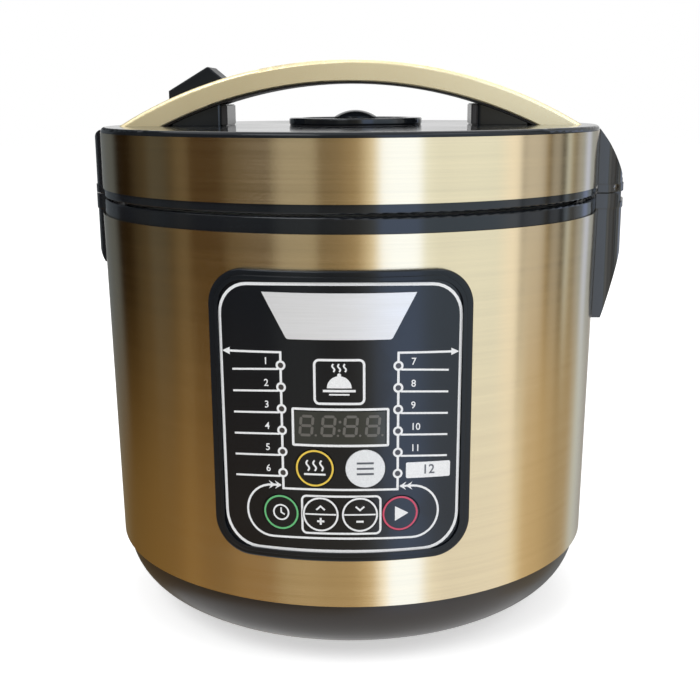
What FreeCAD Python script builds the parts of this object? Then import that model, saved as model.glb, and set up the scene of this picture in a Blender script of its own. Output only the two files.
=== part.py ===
import FreeCAD, Part
import math
import os
import re
import Sketcher

Vector = FreeCAD.Vector
doc = FreeCAD.newDocument("yogurt_maker")

# Driving sizes in millimetres, one spreadsheet cell each
SIZES = {
    # base and feet
    "foot_height": 4.0,
    "foot_radius": 9.0,
    "foot_inset": 13.7,
    "base_height": 34.0,
    "base_inset": 2.5,
    "base_wall": 2.5,
    "base_upper_bend": 30.0,
    "base_lower_bend": 48.0,
    "spigot_height": 8.0,
    "post_inset": 7.7,
    "post_radius": 6.0,
    "slot_inset": 26.0,
    "slot_length": 20.0,
    "slot_width": 4.0,
    # steel sleeve and rim
    "shell_top_radius": 133.6,
    "shell_taper": 2.7,
    "shell_height": 177.0,
    "sheet": 0.9,
    "rim_inset": 1.2,
    "rim_height": 7.4,
    "rim_depth": 13.4,
    "rim_wall": 2.2,
    "rim_recess": 5.0,
    "seam_gap": 1.2,
    # shared clearances
    "fit_gap": 0.3,
    "slide_gap": 0.5,
    "running_gap": 0.06,
    # pot, liner and heater
    "pot_inset": 22.5,
    "pot_wall": 1.6,
    "pot_lift": 24.7,
    "pot_corner": 19.0,
    "flange_width": 8.4,
    "pot_clear": 1.5,
    "pot_air": 2.1,
    "liner_wall": 0.8,
    "liner_land": 20.0,
    "heater_inset": 13.1,
    "heater_thickness": 11.0,
    "heater_leg": 7.0,
    "heater_leg_inset": 14.0,
    "heater_leg_radius": 5.5,
    "heater_hole": 19.0,
    "element_inset": 32.0,
    "element_radius": 5.0,
    "sensor_height": 8.5,
    "sensor_stem": 5.0,
    "sensor_stem_length": 19.0,
    "sensor_bracket_width": 24.0,
    "sensor_bracket_sheet": 1.5,
    "sensor_spring_radius": 8.0,
    "sensor_spring_wire": 1.0,
    # screws
    "screw_radius": 2.0,
    "screw_head": 4.0,
    "screw_head_height": 2.4,
    # control panel
    "panel_half": 60.3,
    "panel_low": 23.9,
    "panel_margin": 15.6,
    "panel_corner": 17.5,
    "bezel_outer_width": 2.8,
    "bezel_inner_width": 2.0,
    "bezel_outer_proud": 2.4,
    "bezel_inner_proud": 3.2,
    "bezel_depth": 7.0,
    "bezel_ledge": 2.0,
    "bezel_outer_edge": 1.2,
    "face_back": 0.4,
    "face_front": 2.2,
    "badge_top_half": 34.6,
    "badge_bottom_half": 23.7,
    "badge_height": 21.0,
    "badge_drop": 9.9,
    "badge_corner": 1.2,
    "badge_sheet": 0.45,
    "window_half": 21.2,
    "window_height": 16.4,
    "light_column": 26.5,
    "light_radius": 1.2,
    "key_upper_gap": 2.6,
    "key_upper_radius": 9.0,
    "key_gap": 0.65,
    "key_space": 1.65,
    "key_lower_radius": 8.5,
    "key_proud": 0.35,
    "key_skirt": 1.6,
    "key_tab_width": 6.0,
    "key_tab": 1.4,
    "key_stem_radius": 2.0,
    "key_travel": 0.8,
    "switch_side": 6.0,
    "switch_height": 3.4,
    "switch_tip": 4.4,
    "board_setback": 10.3,
    "board_sheet": 1.6,
    "board_margin": 14.3,
    "board_end": 10.0,
    "board_boss_inset": 4.5,
    "board_boss_radius": 3.0,
    "display_half": 20.4,
    "display_height": 13.0,
    "display_depth": 9.2,
    # power supply and inlet
    "supply_length": 90.0,
    "supply_width": 60.0,
    "supply_post": 8.0,
    "inlet_level": 20.0,
    "inlet_half": 12.0,
    "inlet_half_height": 8.0,
    "inlet_wall": 2.0,
    "inlet_flange": 4.0,
    "inlet_depth": 14.3,
    "inlet_proud": 2.0,
    "inlet_pin": 8.4,
    "inlet_pin_pitch": 14.0,
    # lid
    "lid_ring_height": 4.4,
    "lid_shelf": 4.9,
    "lid_spigot": 12.4,
    "lid_wall": 2.0,
    "band_inset": 0.4,
    "band_height": 28.4,
    "lid_lip": 2.6,
    "lid_edge": 2.2,
    "lid_cover_spigot": 6.4,
    "pan_clear": 1.4,
    "liner_pan": 2.0,
    "stud_boss": 8.0,
    "stud_radius": 3.0,
    "inner_lid_lap": 2.4,
    "inner_lid_sheet": 1.2,
    "inner_lid_edge": 13.0,
    "inner_lid_slope": 7.0,
    "inner_lid_drop": 6.8,
    "inner_lid_holes": 40.0,
    "inner_lid_hole": 2.5,
    "nut_radius": 13.0,
    "nut_height": 9.0,
    "seal_width": 7.4,
    "seal_taper": 2.0,
    # steam vent
    "vent_x": 3.0,
    "vent_radius": 36.0,
    "vent_height": 3.6,
    "vent_edge": 1.0,
    "vent_skirt": 27.0,
    "vent_skirt_depth": 7.0,
    "vent_wall": 2.4,
    "vent_dish": 29.0,
    "vent_dish_depth": 1.0,
    "cup_depth": 15.0,
    "spout_offset": 14.0,
    "spout_radius": 7.0,
    "spout_bore": 5.0,
    "knob_radius": 11.6,
    "knob_rise": 5.0,
    "knob_foot": 1.4,
    "gasket_section": 1.6,
    # handle
    "handle_rise": 33.9,
    "handle_inset": 10.69,
    "arch_thick": 11.2,
    "arch_skin": 8.0,
    "arch_half": 20.0,
    "arch_edge": 2.0,
    "arch_lower_edge": 0.8,
    "grip_drop": 0.8,
    "arch_side": 1.7,
    "support_length": 26.0,
    "support_tip": 1.1,
    "support_inset": 3.0,
    "support_edge": 1.6,
    "support_wall": 2.7544,
    "handle_screw_inset": 13.9,
    "handle_screw_y": 10.0,
    "handle_screw_length": 9.0,
    # release lever, rises above the lid top
    "lever_half": 13.0,
    "lever_inset": 29.3,
    "lever_pivot_rise": 10.5,
    "lever_heel": 3.0,
    "lever_heel_rise": 18.3,
    "lever_peak": 18.5,
    "lever_peak_rise": 31.0,
    "lever_length": 26.0,
    "lever_toe_rise": 24.6,
    "lever_toe_depth": 3.6,
    "lever_round": 1.2,
    "lever_edge": 0.8,
    "lever_swing": 3.8,
    "finger_reach": 19.4,
    "finger_width": 4.0,
    "finger_half": 3.0,
    "finger_swing": 4.2,
    "finger_clear": 1.0,
    "pin_radius": 1.5,
    # latch
    "link_half": 5.0,
    "link_pivot_inset": 6.7,
    "link_drop": 14.5,
    "link_arm": 5.0,
    "link_overlap": 3.0,
    "hook_reach": 2.2,
    "hook_thick": 1.8,
    "hook_low": 6.4,
    "hook_nose": 0.6,
    "hook_nose_height": 2.4,
    "hook_swing": 2.0,
    "ear_half": 3.2,
    "ear_thick": 3.0,
    "latch_spring_reach": 19.8,
    "latch_spring_radius": 3.2,
    "latch_spring_wire": 0.7,
    "strike_half": 5.0,
    "strike_height": 4.4,
    # hinge and latch lugs
    "lug_round": 22.0,
    "lug_half": 19.2,
    "lug_step": 0.5,
    "lug_edge": 1.5,
    "lug_seam": 0.5,
    "hinge_reach": 15.3,
    "hinge_drop": 59.0,
    "hinge_lug_taper": 42.0,
    "hinge_toe": 2.7,
    "hinge_cover_foot": 4.4,
    "hinge_cover_bend": 110.0,
    "latch_reach": 6.9,
    "latch_drop": 29.0,
    "latch_lug_taper": 17.0,
    "latch_toe": 1.2,
    "latch_cover_bend": 9.0,
    "hinge_setback": 6.2,
    "hinge_rise": 2.4,
    "hinge_pin_radius": 1.8,
    "knuckle_radius": 4.0,
    "knuckle_half": 3.6,
    "knuckle_end": 7.8,
    "knuckle_pocket": 7.7,
    "hinge_relief": 8.8,
}

# Sizes that follow from the driving sizes
DERIVED = {
    "shell_floor": "foot_height + base_height",
    "shell_top": "shell_floor + shell_height",
    "seam_floor": "shell_top + rim_height",
    "lid_floor": "seam_floor + seam_gap",
    "band_floor": "lid_floor + lid_ring_height",
    "band_top": "band_floor + band_height",
    "lid_top": "band_top + lid_lip",
    "lid_under": "band_top",
    "pot_outer": "pot_radius + pot_wall",
    "pot_seat": "seam_floor - rim_recess",
    "pot_rim": "pot_seat + fit_gap + pot_wall",
    "pot_floor": "pot_rim - pot_height",
    "rim_bore": "pot_outer + pot_clear",
    "rim_seat_radius": "pot_flange + pot_clear",
    "rim_under": "seam_floor - rim_depth",
    "liner_inner": "pot_outer + pot_air",
    "liner_outer": "liner_inner + liner_wall",
    "heater_under": "pot_floor - heater_thickness",
    "liner_deck": "heater_under - heater_leg",
    "liner_floor": "liner_deck - liner_wall",
    "band_inner": "band_radius - sheet",
    "lid_spigot_radius": "band_inner - fit_gap",
    "pan_floor": "lid_floor + lid_shelf",
    "pan_deck": "pan_floor + liner_pan",
    "seal_floor": "pot_rim + fit_gap",
    "inner_lid_flange": "lid_floor + fit_gap",
    "inner_lid_under": "inner_lid_flange - inner_lid_drop",
    "arch_centre": "lid_top + handle_rise - arch_outer",
    "link_top": "lid_top - link_drop + link_arm / 2",
    "link_under": "link_top - link_arm",
    "link_pivot": "lid_top - link_drop",
    "lever_pivot": "lid_top + lever_pivot_rise",
    "hook_floor": "seam_floor - hook_low",
    "hinge_level": "lid_floor + hinge_rise",
    "board_back": "board_front - board_sheet",
    "supply_level": "foot_height + base_wall + supply_post",
    "inlet_centre": "shell_floor + inlet_level",
    "cup_floor": "lid_top - cup_depth",
    "bezel_width": "bezel_outer_width + bezel_inner_width",
    "base_bend_x": "base_radius - base_upper_bend",
    "base_flat": "base_bend_x - sqrt((base_lower_bend - base_upper_bend)^2"
                 " - (base_lower_bend - base_height)^2)",
    "base_slope_x": "(base_bend_x - base_flat) / (base_lower_bend - base_upper_bend)",
    "base_slope_z": "(base_lower_bend - base_height) / (base_lower_bend - base_upper_bend)",
    "shell_bottom_radius": "shell_top_radius - shell_taper",
    "base_radius": "shell_bottom_radius - base_inset",
    "rim_radius": "shell_top_radius - rim_inset",
    "band_radius": "shell_top_radius - band_inset",
    "foot_circle": "base_flat - foot_inset",
    "post_circle": "base_flat - post_inset",
    "slot_circle": "post_circle - slot_inset",
    "liner_hole": "post_circle - liner_land",
    "pot_radius": "shell_top_radius - pot_inset",
    "pot_flange": "pot_outer + flange_width",
    "pot_height": "shell_height - pot_lift",
    "heater_radius": "pot_outer - heater_inset",
    "heater_leg_circle": "heater_radius - heater_leg_inset",
    "element_circle": "heater_radius - element_inset",
    "panel_high": "shell_height - panel_margin",
    "panel_height": "panel_high - panel_low",
    "badge_high": "panel_high - badge_drop",
    "badge_low": "badge_high - badge_height",
    "window_low": "panel_low + panel_height * 0.4153",
    "window_high": "window_low + window_height",
    "light_low": "panel_low + panel_height * 0.3142",
    "light_pitch": "panel_height * 0.07418",
    "key_upper_x": "key_upper_radius + key_upper_gap",
    "key_upper_level": "panel_low + panel_height * 0.336",
    "key_centre_x": "key_lower_radius + key_gap",
    "key_outer_x": "key_centre_x + key_lower_radius * 2 + key_space",
    "key_lower_level": "panel_low + panel_height * 0.1731",
    "board_front": "shell_bottom_radius - board_setback",
    "board_half": "panel_half - board_margin",
    "board_boss_x": "board_half - board_boss_inset",
    "board_low": "panel_low + board_end",
    "board_high": "panel_high - board_end",
    "inlet_back": "shell_bottom_radius - inlet_depth",
    "lid_ring_bore": "pot_flange + slide_gap",
    "liner_pan_radius": "lid_spigot_radius - lid_wall - pan_clear",
    "seal_outer": "lid_ring_bore - fit_gap * 2",
    "seal_inner": "seal_outer - seal_width",
    "inner_lid_radius": "seal_outer - inner_lid_lap",
    "inner_lid_step": "inner_lid_radius - inner_lid_edge",
    "inner_lid_floor_radius": "inner_lid_step - inner_lid_slope",
    "foot_span": "band_radius - handle_inset",
    "arch_outer": "(foot_span^2 + handle_rise^2) / (2 * handle_rise)",
    "arch_inner": "arch_outer - arch_thick",
    "arch_channel": "arch_outer - arch_skin",
    "grip_inner": "arch_inner - grip_drop",
    "grip_half": "arch_half - arch_side",
    "support_outer_x": "sqrt((grip_inner - fit_gap)^2 - (lid_top + support_tip - arch_centre)^2)",
    "support_inner_x": "support_outer_x - support_length",
    "support_half": "arch_half - support_inset",
    "handle_screw_x": "foot_span - handle_screw_inset",
    "lever_pivot_x": "foot_span - lever_inset",
    "lever_heel_x": "lever_pivot_x + lever_heel",
    "lever_peak_x": "lever_pivot_x - lever_peak",
    "lever_toe_x": "lever_pivot_x - lever_length",
    "finger_x": "lever_pivot_x - finger_reach",
    "slot_inner_x": "finger_x - finger_width / 2 - finger_clear",
    "slot_support_x": "slot_inner_x - support_wall",
    "link_pivot_x": "band_inner - link_pivot_inset",
    "link_end_x": "finger_x - link_overlap",
    "hook_x": "rim_radius + hook_reach",
    "latch_spring_x": "finger_x + latch_spring_reach",
    "hinge_lug_x": "shell_top_radius + hinge_reach",
    "hinge_lug_low": "shell_height - hinge_drop",
    "latch_lug_low": "shell_height - latch_drop",
    "hinge_lug_toe": "shell_top_radius + hinge_toe",
    "latch_lug_x": "shell_top_radius + latch_reach",
    "latch_lug_toe": "shell_top_radius + latch_toe",
    "lug_top": "lid_floor - lug_seam",
    "hinge_x": "hinge_lug_x - hinge_setback",
    "relief_half": "sqrt(lug_round^2 - (lug_round - hinge_setback + hinge_rise)^2) + slide_gap",
    "frame_shift": "(hinge_lug_x - latch_lug_x) / 2",
}

sizes = doc.addObject("Spreadsheet::Sheet", "Sizes")
for row, (alias, number) in enumerate(SIZES.items(), start=1):
    sizes.set(f"A{row}", alias)
    sizes.set(f"B{row}", str(number))
    sizes.setAlias(f"B{row}", alias)
doc.recompute()

finished = {}
serial = {"count": 0}


def bind(text):
    """Expression for the spreadsheet from an expression in plain size words."""

    def swap(match):
        word = match.group(0)
        if word in DERIVED:
            return "(" + bind(DERIVED[word]) + ")"
        if word in SIZES:
            return "Sizes." + word
        return word

    return re.sub(r"[a-z][a-z_]*", swap, text)


def size(text):
    """Present value of an expression in plain size words."""
    return float(sizes.evalExpression(bind(text)))


def tool_name(stem):
    serial["count"] += 1
    return f"{stem}_{serial['count']}"


def set_size(item, prop, text):
    item.setExpression(prop, bind(text))


def place(item, x="0", y="0", z="0"):
    """Moves an object to a point given in size words."""
    for axis, text in zip("xyz", (x, y, z)):
        if text != "0":
            set_size(item, f"Placement.Base.{axis}", text)
    return item


def finish(item, node):
    """Marks an object as the finished sub-part of that name."""
    item.Label = node
    finished[node] = item
    return item


def own_plane(body, role):
    return next(item for item in body.Origin.OriginFeatures if item.Role == role)


def arc_between(start, end, radius, turn):
    """Sketch arc; turn is 1 for a left-hand bend and -1 for a right-hand bend."""
    chord = end - start
    middle = (start + end) * 0.5
    left = Vector(-chord.y, chord.x, 0).normalize()
    offset = math.sqrt(max(radius * radius - chord.Length * chord.Length / 4, 0))
    centre = middle + left * (offset * turn)
    first, last = (start, end) if turn > 0 else (end, start)
    angles = [math.atan2(p.y - centre.y, p.x - centre.x) for p in (first, last)]
    circle = Part.Circle(centre, Vector(0, 0, 1), radius)
    return Part.ArcOfCircle(circle, angles[0], angles[1])


def draw(sketch, steps):
    """Closed outline: (x, y) is a straight run to a corner, (x, y, radius, turn) an arc to it."""
    corners = [Vector(size(step[0]), size(step[1]), 0) for step in steps]
    starts = []
    ends = []
    for index, step in enumerate(steps):
        begin = corners[index - 1]
        end = corners[index]
        if len(step) == 2:
            edge = sketch.addGeometry(Part.LineSegment(begin, end))
            starts.append((edge, 1))
            ends.append((edge, 2))
        else:
            edge = sketch.addGeometry(arc_between(begin, end, size(step[2]), step[3]))
            starts.append((edge, 1 if step[3] > 0 else 2))
            ends.append((edge, 2 if step[3] > 0 else 1))
            number = sketch.addConstraint(Sketcher.Constraint("Radius", edge, size(step[2])))
            set_size(sketch, f"Constraints[{number}]", step[2])
    for index, step in enumerate(steps):
        following = starts[(index + 1) % len(steps)]
        edge, point = ends[index]
        sketch.addConstraint(Sketcher.Constraint("Coincident", edge, point, *following))
        for kind, text, axis in (("DistanceX", step[0], -2), ("DistanceY", step[1], -1)):
            if text == "0":
                sketch.addConstraint(Sketcher.Constraint("PointOnObject", edge, point, axis))
            else:
                limit = Sketcher.Constraint(kind, -1, 1, edge, point, size(text))
                number = sketch.addConstraint(limit)
                set_size(sketch, f"Constraints[{number}]", text)


def new_sketch(body, role, steps):
    sketch = body.newObject("Sketcher::SketchObject", tool_name("outline"))
    sketch.AttachmentSupport = [(own_plane(body, role), "")]
    sketch.MapMode = "FlatFace"
    draw(sketch, steps)
    return sketch


def turned(name, steps):
    """Body turned about the upright axis from a half profile."""
    body = doc.addObject("PartDesign::Body", tool_name(name))
    sketch = new_sketch(body, "XZ_Plane", steps)
    turn = body.newObject("PartDesign::Revolution", tool_name("turn"))
    turn.Profile = sketch
    turn.ReferenceAxis = (sketch, ["V_Axis"])
    turn.Angle = 360
    return body


def padded(name, role, steps, length, side="Symmetric"):
    """Body drawn out from an outline on one of its own planes."""
    body = doc.addObject("PartDesign::Body", tool_name(name))
    sketch = new_sketch(body, role, steps)
    pad = body.newObject("PartDesign::Pad", tool_name("pad"))
    pad.Profile = sketch
    pad.SideType = side
    set_size(pad, "Length", length)
    return body


def block(name, x, y, z):
    """Box between two limits on each axis."""
    item = doc.addObject("Part::Box", tool_name(name))
    for prop, (low, high) in zip(("Length", "Width", "Height"), (x, y, z)):
        set_size(item, prop, f"({high}) - ({low})")
    return place(item, x[0], y[0], z[0])


def rod(name, radius, x, y, z):
    """Upright cylinder at x, y between two levels."""
    item = doc.addObject("Part::Cylinder", tool_name(name))
    set_size(item, "Radius", radius)
    set_size(item, "Height", f"({z[1]}) - ({z[0]})")
    return place(item, x, y, z[0])


def bar(name, radius, x, y, z):
    """Level cylinder along Y at x, z between two limits."""
    item = doc.addObject("Part::Cylinder", tool_name(name))
    item.Placement = FreeCAD.Placement(Vector(), FreeCAD.Rotation(Vector(1, 0, 0), -90))
    set_size(item, "Radius", radius)
    set_size(item, "Height", f"({y[1]}) - ({y[0]})")
    return place(item, x, y[0], z)


def taper(name, offset):
    """Solid cone that follows the steel sleeve at a distance from its outside."""
    item = doc.addObject("Part::Cone", tool_name(name))
    set_size(item, "Radius1", f"shell_bottom_radius + ({offset})")
    set_size(item, "Radius2", f"shell_top_radius + ({offset})")
    set_size(item, "Height", "shell_height")
    return place(item, z="shell_floor")


def cut(name, base, *tools):
    item = doc.addObject("Part::Cut", tool_name(name))
    item.Base = base
    item.Tool = tools[0] if len(tools) == 1 else join(name, *tools)
    return item


def join(name, *pieces):
    item = doc.addObject("Part::MultiFuse", tool_name(name))
    item.Shapes = list(pieces)
    item.Refine = True
    return item


def meet(name, *pieces):
    item = doc.addObject("Part::MultiCommon", tool_name(name))
    item.Shapes = list(pieces)
    return item


def gather(name, *pieces):
    item = doc.addObject("Part::Compound", tool_name(name))
    item.Links = list(pieces)
    return item


def bent_sheet(name, back, front):
    """Sleeve-shaped layer between two distances from the steel sleeve."""
    return cut(name, taper(name, front), taper(name, back))


def around(circle, angle):
    return f"{circle} * cos({angle})", f"{circle} * sin({angle})"


def coil(name, radius, wire, turns, x, low, high):
    """Upright compression spring along x, one tube on pairs of tangent arcs."""
    rise = (high - low) / turns
    steps = int(turns * 4)

    def point(index):
        angle = math.pi / 2 * index
        level = low + rise * index / 4
        return Vector(radius * math.cos(angle), radius * math.sin(angle), level)

    def heading(index):
        angle = math.pi / 2 * index
        slope = rise / (2 * math.pi)
        return Vector(-radius * math.sin(angle), radius * math.cos(angle), slope).normalize()

    def half_arc(start, along, end):
        chord = end - start
        normal = along.cross(chord)
        inward = normal.cross(along).normalize()
        bend = chord.dot(chord) / (2 * inward.dot(chord))
        centre = start + inward * bend
        middle = (start + end) * 0.5 - centre
        return Part.Arc(start, centre + middle.normalize() * bend, end).toShape()

    edges = []
    for index in range(steps):
        start, end = point(index), point(index + 1)
        first, last = heading(index), heading(index + 1)
        gap = end - start
        a = 2 * (first.dot(last) - 1)
        b = -2 * gap.dot(first + last)
        c = gap.dot(gap)
        reach = (-b - math.sqrt(b * b - 4 * a * c)) / (2 * a)
        if reach < 0:
            reach = (-b + math.sqrt(b * b - 4 * a * c)) / (2 * a)
        joint = (start + first * reach + end - last * reach) * 0.5
        edges.append(half_arc(start, first, joint))
        edges.append(half_arc(end, last * -1, joint))
    spine = Part.Wire(Part.__sortEdges__(edges))
    section = Part.Wire([Part.Circle(point(0), heading(0), wire / 2).toShape()])
    item = doc.addObject("Part::Feature", tool_name(name))
    item.Shape = spine.makePipeShell([section], True, False)
    item.Placement = FreeCAD.Placement(Vector(x, 0, 0), FreeCAD.Rotation())
    print(name, "least gap between turns", round(rise - wire, 2))
    return item


def on_side(edge, half):
    """Whether an edge lies on one of the two outer side faces."""
    return abs(abs(edge.CenterOfMass.y) - size(half)) < 0.01


def bend_of(edge):
    return edge.Curve.Radius if hasattr(edge.Curve, "Radius") else 0


def round_edges(body, radius, wanted):
    """Rounds the edges of a drawn-out body that pass a test."""
    doc.recompute()
    tip = body.Tip
    names = [f"Edge{number}" for number, edge in enumerate(body.Shape.Edges, start=1) if wanted(edge)]
    rounding = body.newObject("PartDesign::Fillet", tool_name("rounding"))
    rounding.Base = (tip, names)
    set_size(rounding, "Radius", radius)
    return body


def rounded(name, base, radius, wanted):
    """Piece with the edges rounded whose middle points pass a test."""
    doc.recompute()
    bend = size(radius)
    item = doc.addObject("Part::Fillet", tool_name(name))
    item.Base = base
    picked = []
    for number, edge in enumerate(base.Shape.Edges, start=1):
        if wanted(edge.valueAt((edge.FirstParameter + edge.LastParameter) / 2)):
            picked.append((number, bend, bend))
    item.Edges = picked
    return item


def proud_of_sleeve(point):
    """Distance of a point from the outside of the steel sleeve."""
    share = (point.z - size("shell_floor")) / size("shell_height")
    return math.hypot(point.x, point.y) - size("shell_bottom_radius") - size("shell_taper") * share


# Base housing: bowl with two tangent bends, posts, air slots and screw holes
def bend_point(shrink):
    x = f"base_flat + base_slope_x * (base_lower_bend - {shrink})"
    z = f"foot_height + base_lower_bend - base_slope_z * (base_lower_bend - {shrink})"
    return x, z


base_bowl = turned("base_bowl", [
    ("0", "foot_height"),
    ("base_flat", "foot_height"),
    (*bend_point("0"), "base_lower_bend", 1),
    ("base_radius", "shell_floor", "base_upper_bend", 1),
    ("shell_bottom_radius - sheet - fit_gap", "shell_floor"),
    ("shell_bottom_radius - sheet - fit_gap", "shell_floor + spigot_height"),
    ("base_radius - base_wall", "shell_floor + spigot_height"),
    ("base_radius - base_wall", "shell_floor"),
    (*bend_point("base_wall"), "base_upper_bend - base_wall", -1),
    ("base_flat", "foot_height + base_wall", "base_lower_bend - base_wall", -1),
    ("0", "foot_height + base_wall"),
])
base_adds = []
base_cuts = []
base_screws = []
for quarter in range(4):
    x, y = around("post_circle", 90 * quarter)
    base_adds.append(rod("post", "post_radius", x, y, ("foot_height + base_wall / 2", "liner_floor")))
    base_cuts.append(rod("post_bore", "screw_radius + fit_gap", x, y, ("0", "liner_floor + 1")))
    head_room = ("0", "foot_height + base_wall + screw_head_height")
    base_cuts.append(rod("head_bore", "screw_head + fit_gap", x, y, head_room))
    seat = "foot_height + base_wall + screw_head_height"
    shaft = rod("shaft", "screw_radius", x, y, (seat, "liner_deck + 3"))
    head = rod("head", "screw_head", x, y, (seat + " - screw_head_height", seat))
    base_screws.append(join("base_screw", shaft, head))
for side_x in (-1, 1):
    for side_y in (-1, 1):
        x = f"{side_x} * (supply_length / 2 - 6)"
        y = f"{side_y} * (supply_width / 2 - 6)"
        base_adds.append(rod("supply_post", "4", x, y, ("foot_height + base_wall / 2", "supply_level")))
for step in range(12):
    slot = block("air_slot", ("slot_circle - slot_length / 2", "slot_circle + slot_length / 2"),
                 ("-slot_width / 2", "slot_width / 2"), ("0", "foot_height + base_wall + 1"))
    turn = doc.addObject("Part::Compound", tool_name("air_slot_turn"))
    turn.Links = [slot]
    turn.Placement = FreeCAD.Placement(Vector(), FreeCAD.Rotation(Vector(0, 0, 1), 15 + 30 * step))
    if step not in (1, 4, 7, 10):
        base_cuts.append(turn)
finish(cut("base_housing", join("base_body", base_bowl, *base_adds), *base_cuts), "base_housing")
finish(gather("base_screws", *base_screws), "base_screws")

feet = []
for quarter in range(4):
    x, y = around("foot_circle", 45 + 90 * quarter)
    foot = doc.addObject("Part::Cone", tool_name("foot"))
    set_size(foot, "Radius1", "foot_radius - 1")
    set_size(foot, "Radius2", "foot_radius")
    set_size(foot, "Height", "foot_height")
    feet.append(place(foot, x, y))
finish(gather("base_feet", *feet), "base_feet")


# Rounded outline shared by everything in the control panel
def panel_slab(name, inset):
    half = f"panel_half - ({inset})"
    low = f"shell_floor + panel_low + ({inset})"
    high = f"shell_floor + panel_high - ({inset})"
    bend = f"panel_corner - ({inset})"
    steps = [
        (f"{half} - ({bend})", low),
        (half, f"{low} + {bend}", bend, 1),
        (half, f"{high} - ({bend})"),
        (f"{half} - ({bend})", high, bend, 1),
        (f"-({half}) + {bend}", high),
        (f"-({half})", f"{high} - ({bend})", bend, 1),
        (f"-({half})", f"{low} + {bend}"),
        (f"-({half}) + {bend}", low, bend, 1),
    ]
    return padded(name, "XZ_Plane", steps, "shell_top_radius + 20", "One side")


# Steel sleeve with its panel window and inlet hole
sleeve = turned("sleeve", [
    ("shell_bottom_radius - sheet", "shell_floor"),
    ("shell_bottom_radius", "shell_floor"),
    ("shell_top_radius", "shell_top"),
    ("shell_top_radius - sheet", "shell_top"),
])
window = panel_slab("sleeve_window", "bezel_outer_width + fit_gap")
inlet_hole = block("inlet_hole", ("-inlet_half - inlet_wall - fit_gap", "inlet_half + inlet_wall + fit_gap"),
                   ("0", "shell_top_radius + 20"),
                   ("inlet_centre - inlet_half_height - inlet_wall - fit_gap",
                    "inlet_centre + inlet_half_height + inlet_wall + fit_gap"))
finish(cut("body_shell", sleeve, window, inlet_hole), "body_shell")

# Rim ring with the recess that the pot flange hangs over
finish(turned("rim_ring", [
    ("rim_bore", "rim_under"),
    ("shell_top_radius - sheet - rim_wall", "rim_under"),
    ("shell_top_radius - sheet - rim_wall", "rim_under - 3"),
    ("rim_radius", "rim_under - 3"),
    ("rim_radius", "seam_floor - 1"),
    ("rim_radius - 1", "seam_floor", "1", 1),
    ("rim_seat_radius + 1.5", "seam_floor"),
    ("rim_seat_radius", "seam_floor - 1.5", "1.5", 1),
    ("rim_seat_radius", "pot_seat"),
    ("rim_bore", "pot_seat"),
]), "rim_ring")

# Heat shield can
liner_can = turned("liner_can", [
    ("liner_hole", "liner_floor"),
    ("liner_outer", "liner_floor"),
    ("liner_outer", "rim_under"),
    ("liner_inner", "rim_under"),
    ("liner_inner", "liner_deck"),
    ("liner_hole", "liner_deck"),
])
liner_cuts = []
for quarter in range(4):
    x, y = around("post_circle", 90 * quarter)
    liner_cuts.append(rod("liner_bore", "screw_radius + fit_gap", x, y, ("liner_floor - 1", "liner_deck + 1")))
leg_adds = []
leg_cuts = []
heater_screws = []
for third in range(3):
    x, y = around("heater_leg_circle", 45 + 120 * third)
    liner_cuts.append(rod("leg_hole", "screw_radius + fit_gap", x, y, ("liner_floor - 1", "liner_deck + 1")))
    leg_adds.append(rod("leg", "heater_leg_radius", x, y, ("liner_deck", "heater_under + 1")))
    leg_cuts.append(rod("leg_bore", "screw_radius + fit_gap", x, y, ("liner_deck - 1", "heater_under")))
    shaft = rod("shaft", "screw_radius", x, y, ("liner_floor", "heater_under - 1"))
    head = rod("head", "screw_head", x, y, ("liner_floor - screw_head_height", "liner_floor"))
    heater_screws.append(join("heater_screw", shaft, head))
finish(cut("inner_liner", liner_can, *liner_cuts), "inner_liner")
finish(gather("heater_screws", *heater_screws), "heater_screws")

# Cast heating plate with its element bead and legs
plate = turned("plate", [
    ("heater_hole", "heater_under"),
    ("element_circle - element_radius", "heater_under"),
    ("element_circle + element_radius", "heater_under", "element_radius * 1.2", 1),
    ("heater_radius - 3", "heater_under"),
    ("heater_radius", "pot_floor - 4"),
    ("heater_radius", "pot_floor - 1"),
    ("heater_radius - 1", "pot_floor", "1", 1),
    ("heater_hole", "pot_floor"),
])
finish(cut("heating_plate", join("plate_body", plate, *leg_adds), *leg_cuts), "heating_plate")

# Cooking pot
finish(turned("inner_pot", [
    ("0", "pot_floor"),
    ("pot_outer - pot_corner", "pot_floor"),
    ("pot_outer", "pot_floor + pot_corner", "pot_corner", 1),
    ("pot_outer", "pot_rim - pot_wall"),
    ("pot_flange - pot_wall / 2", "pot_rim - pot_wall"),
    ("pot_flange - pot_wall / 2", "pot_rim", "pot_wall / 2", 1),
    ("pot_radius + 2", "pot_rim"),
    ("pot_radius", "pot_rim - 2", "2", 1),
    ("pot_radius", "pot_floor + pot_corner"),
    ("pot_outer - pot_corner", "pot_floor + pot_wall", "pot_corner - pot_wall", -1),
    ("0", "pot_floor + pot_wall"),
]), "inner_pot")

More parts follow.
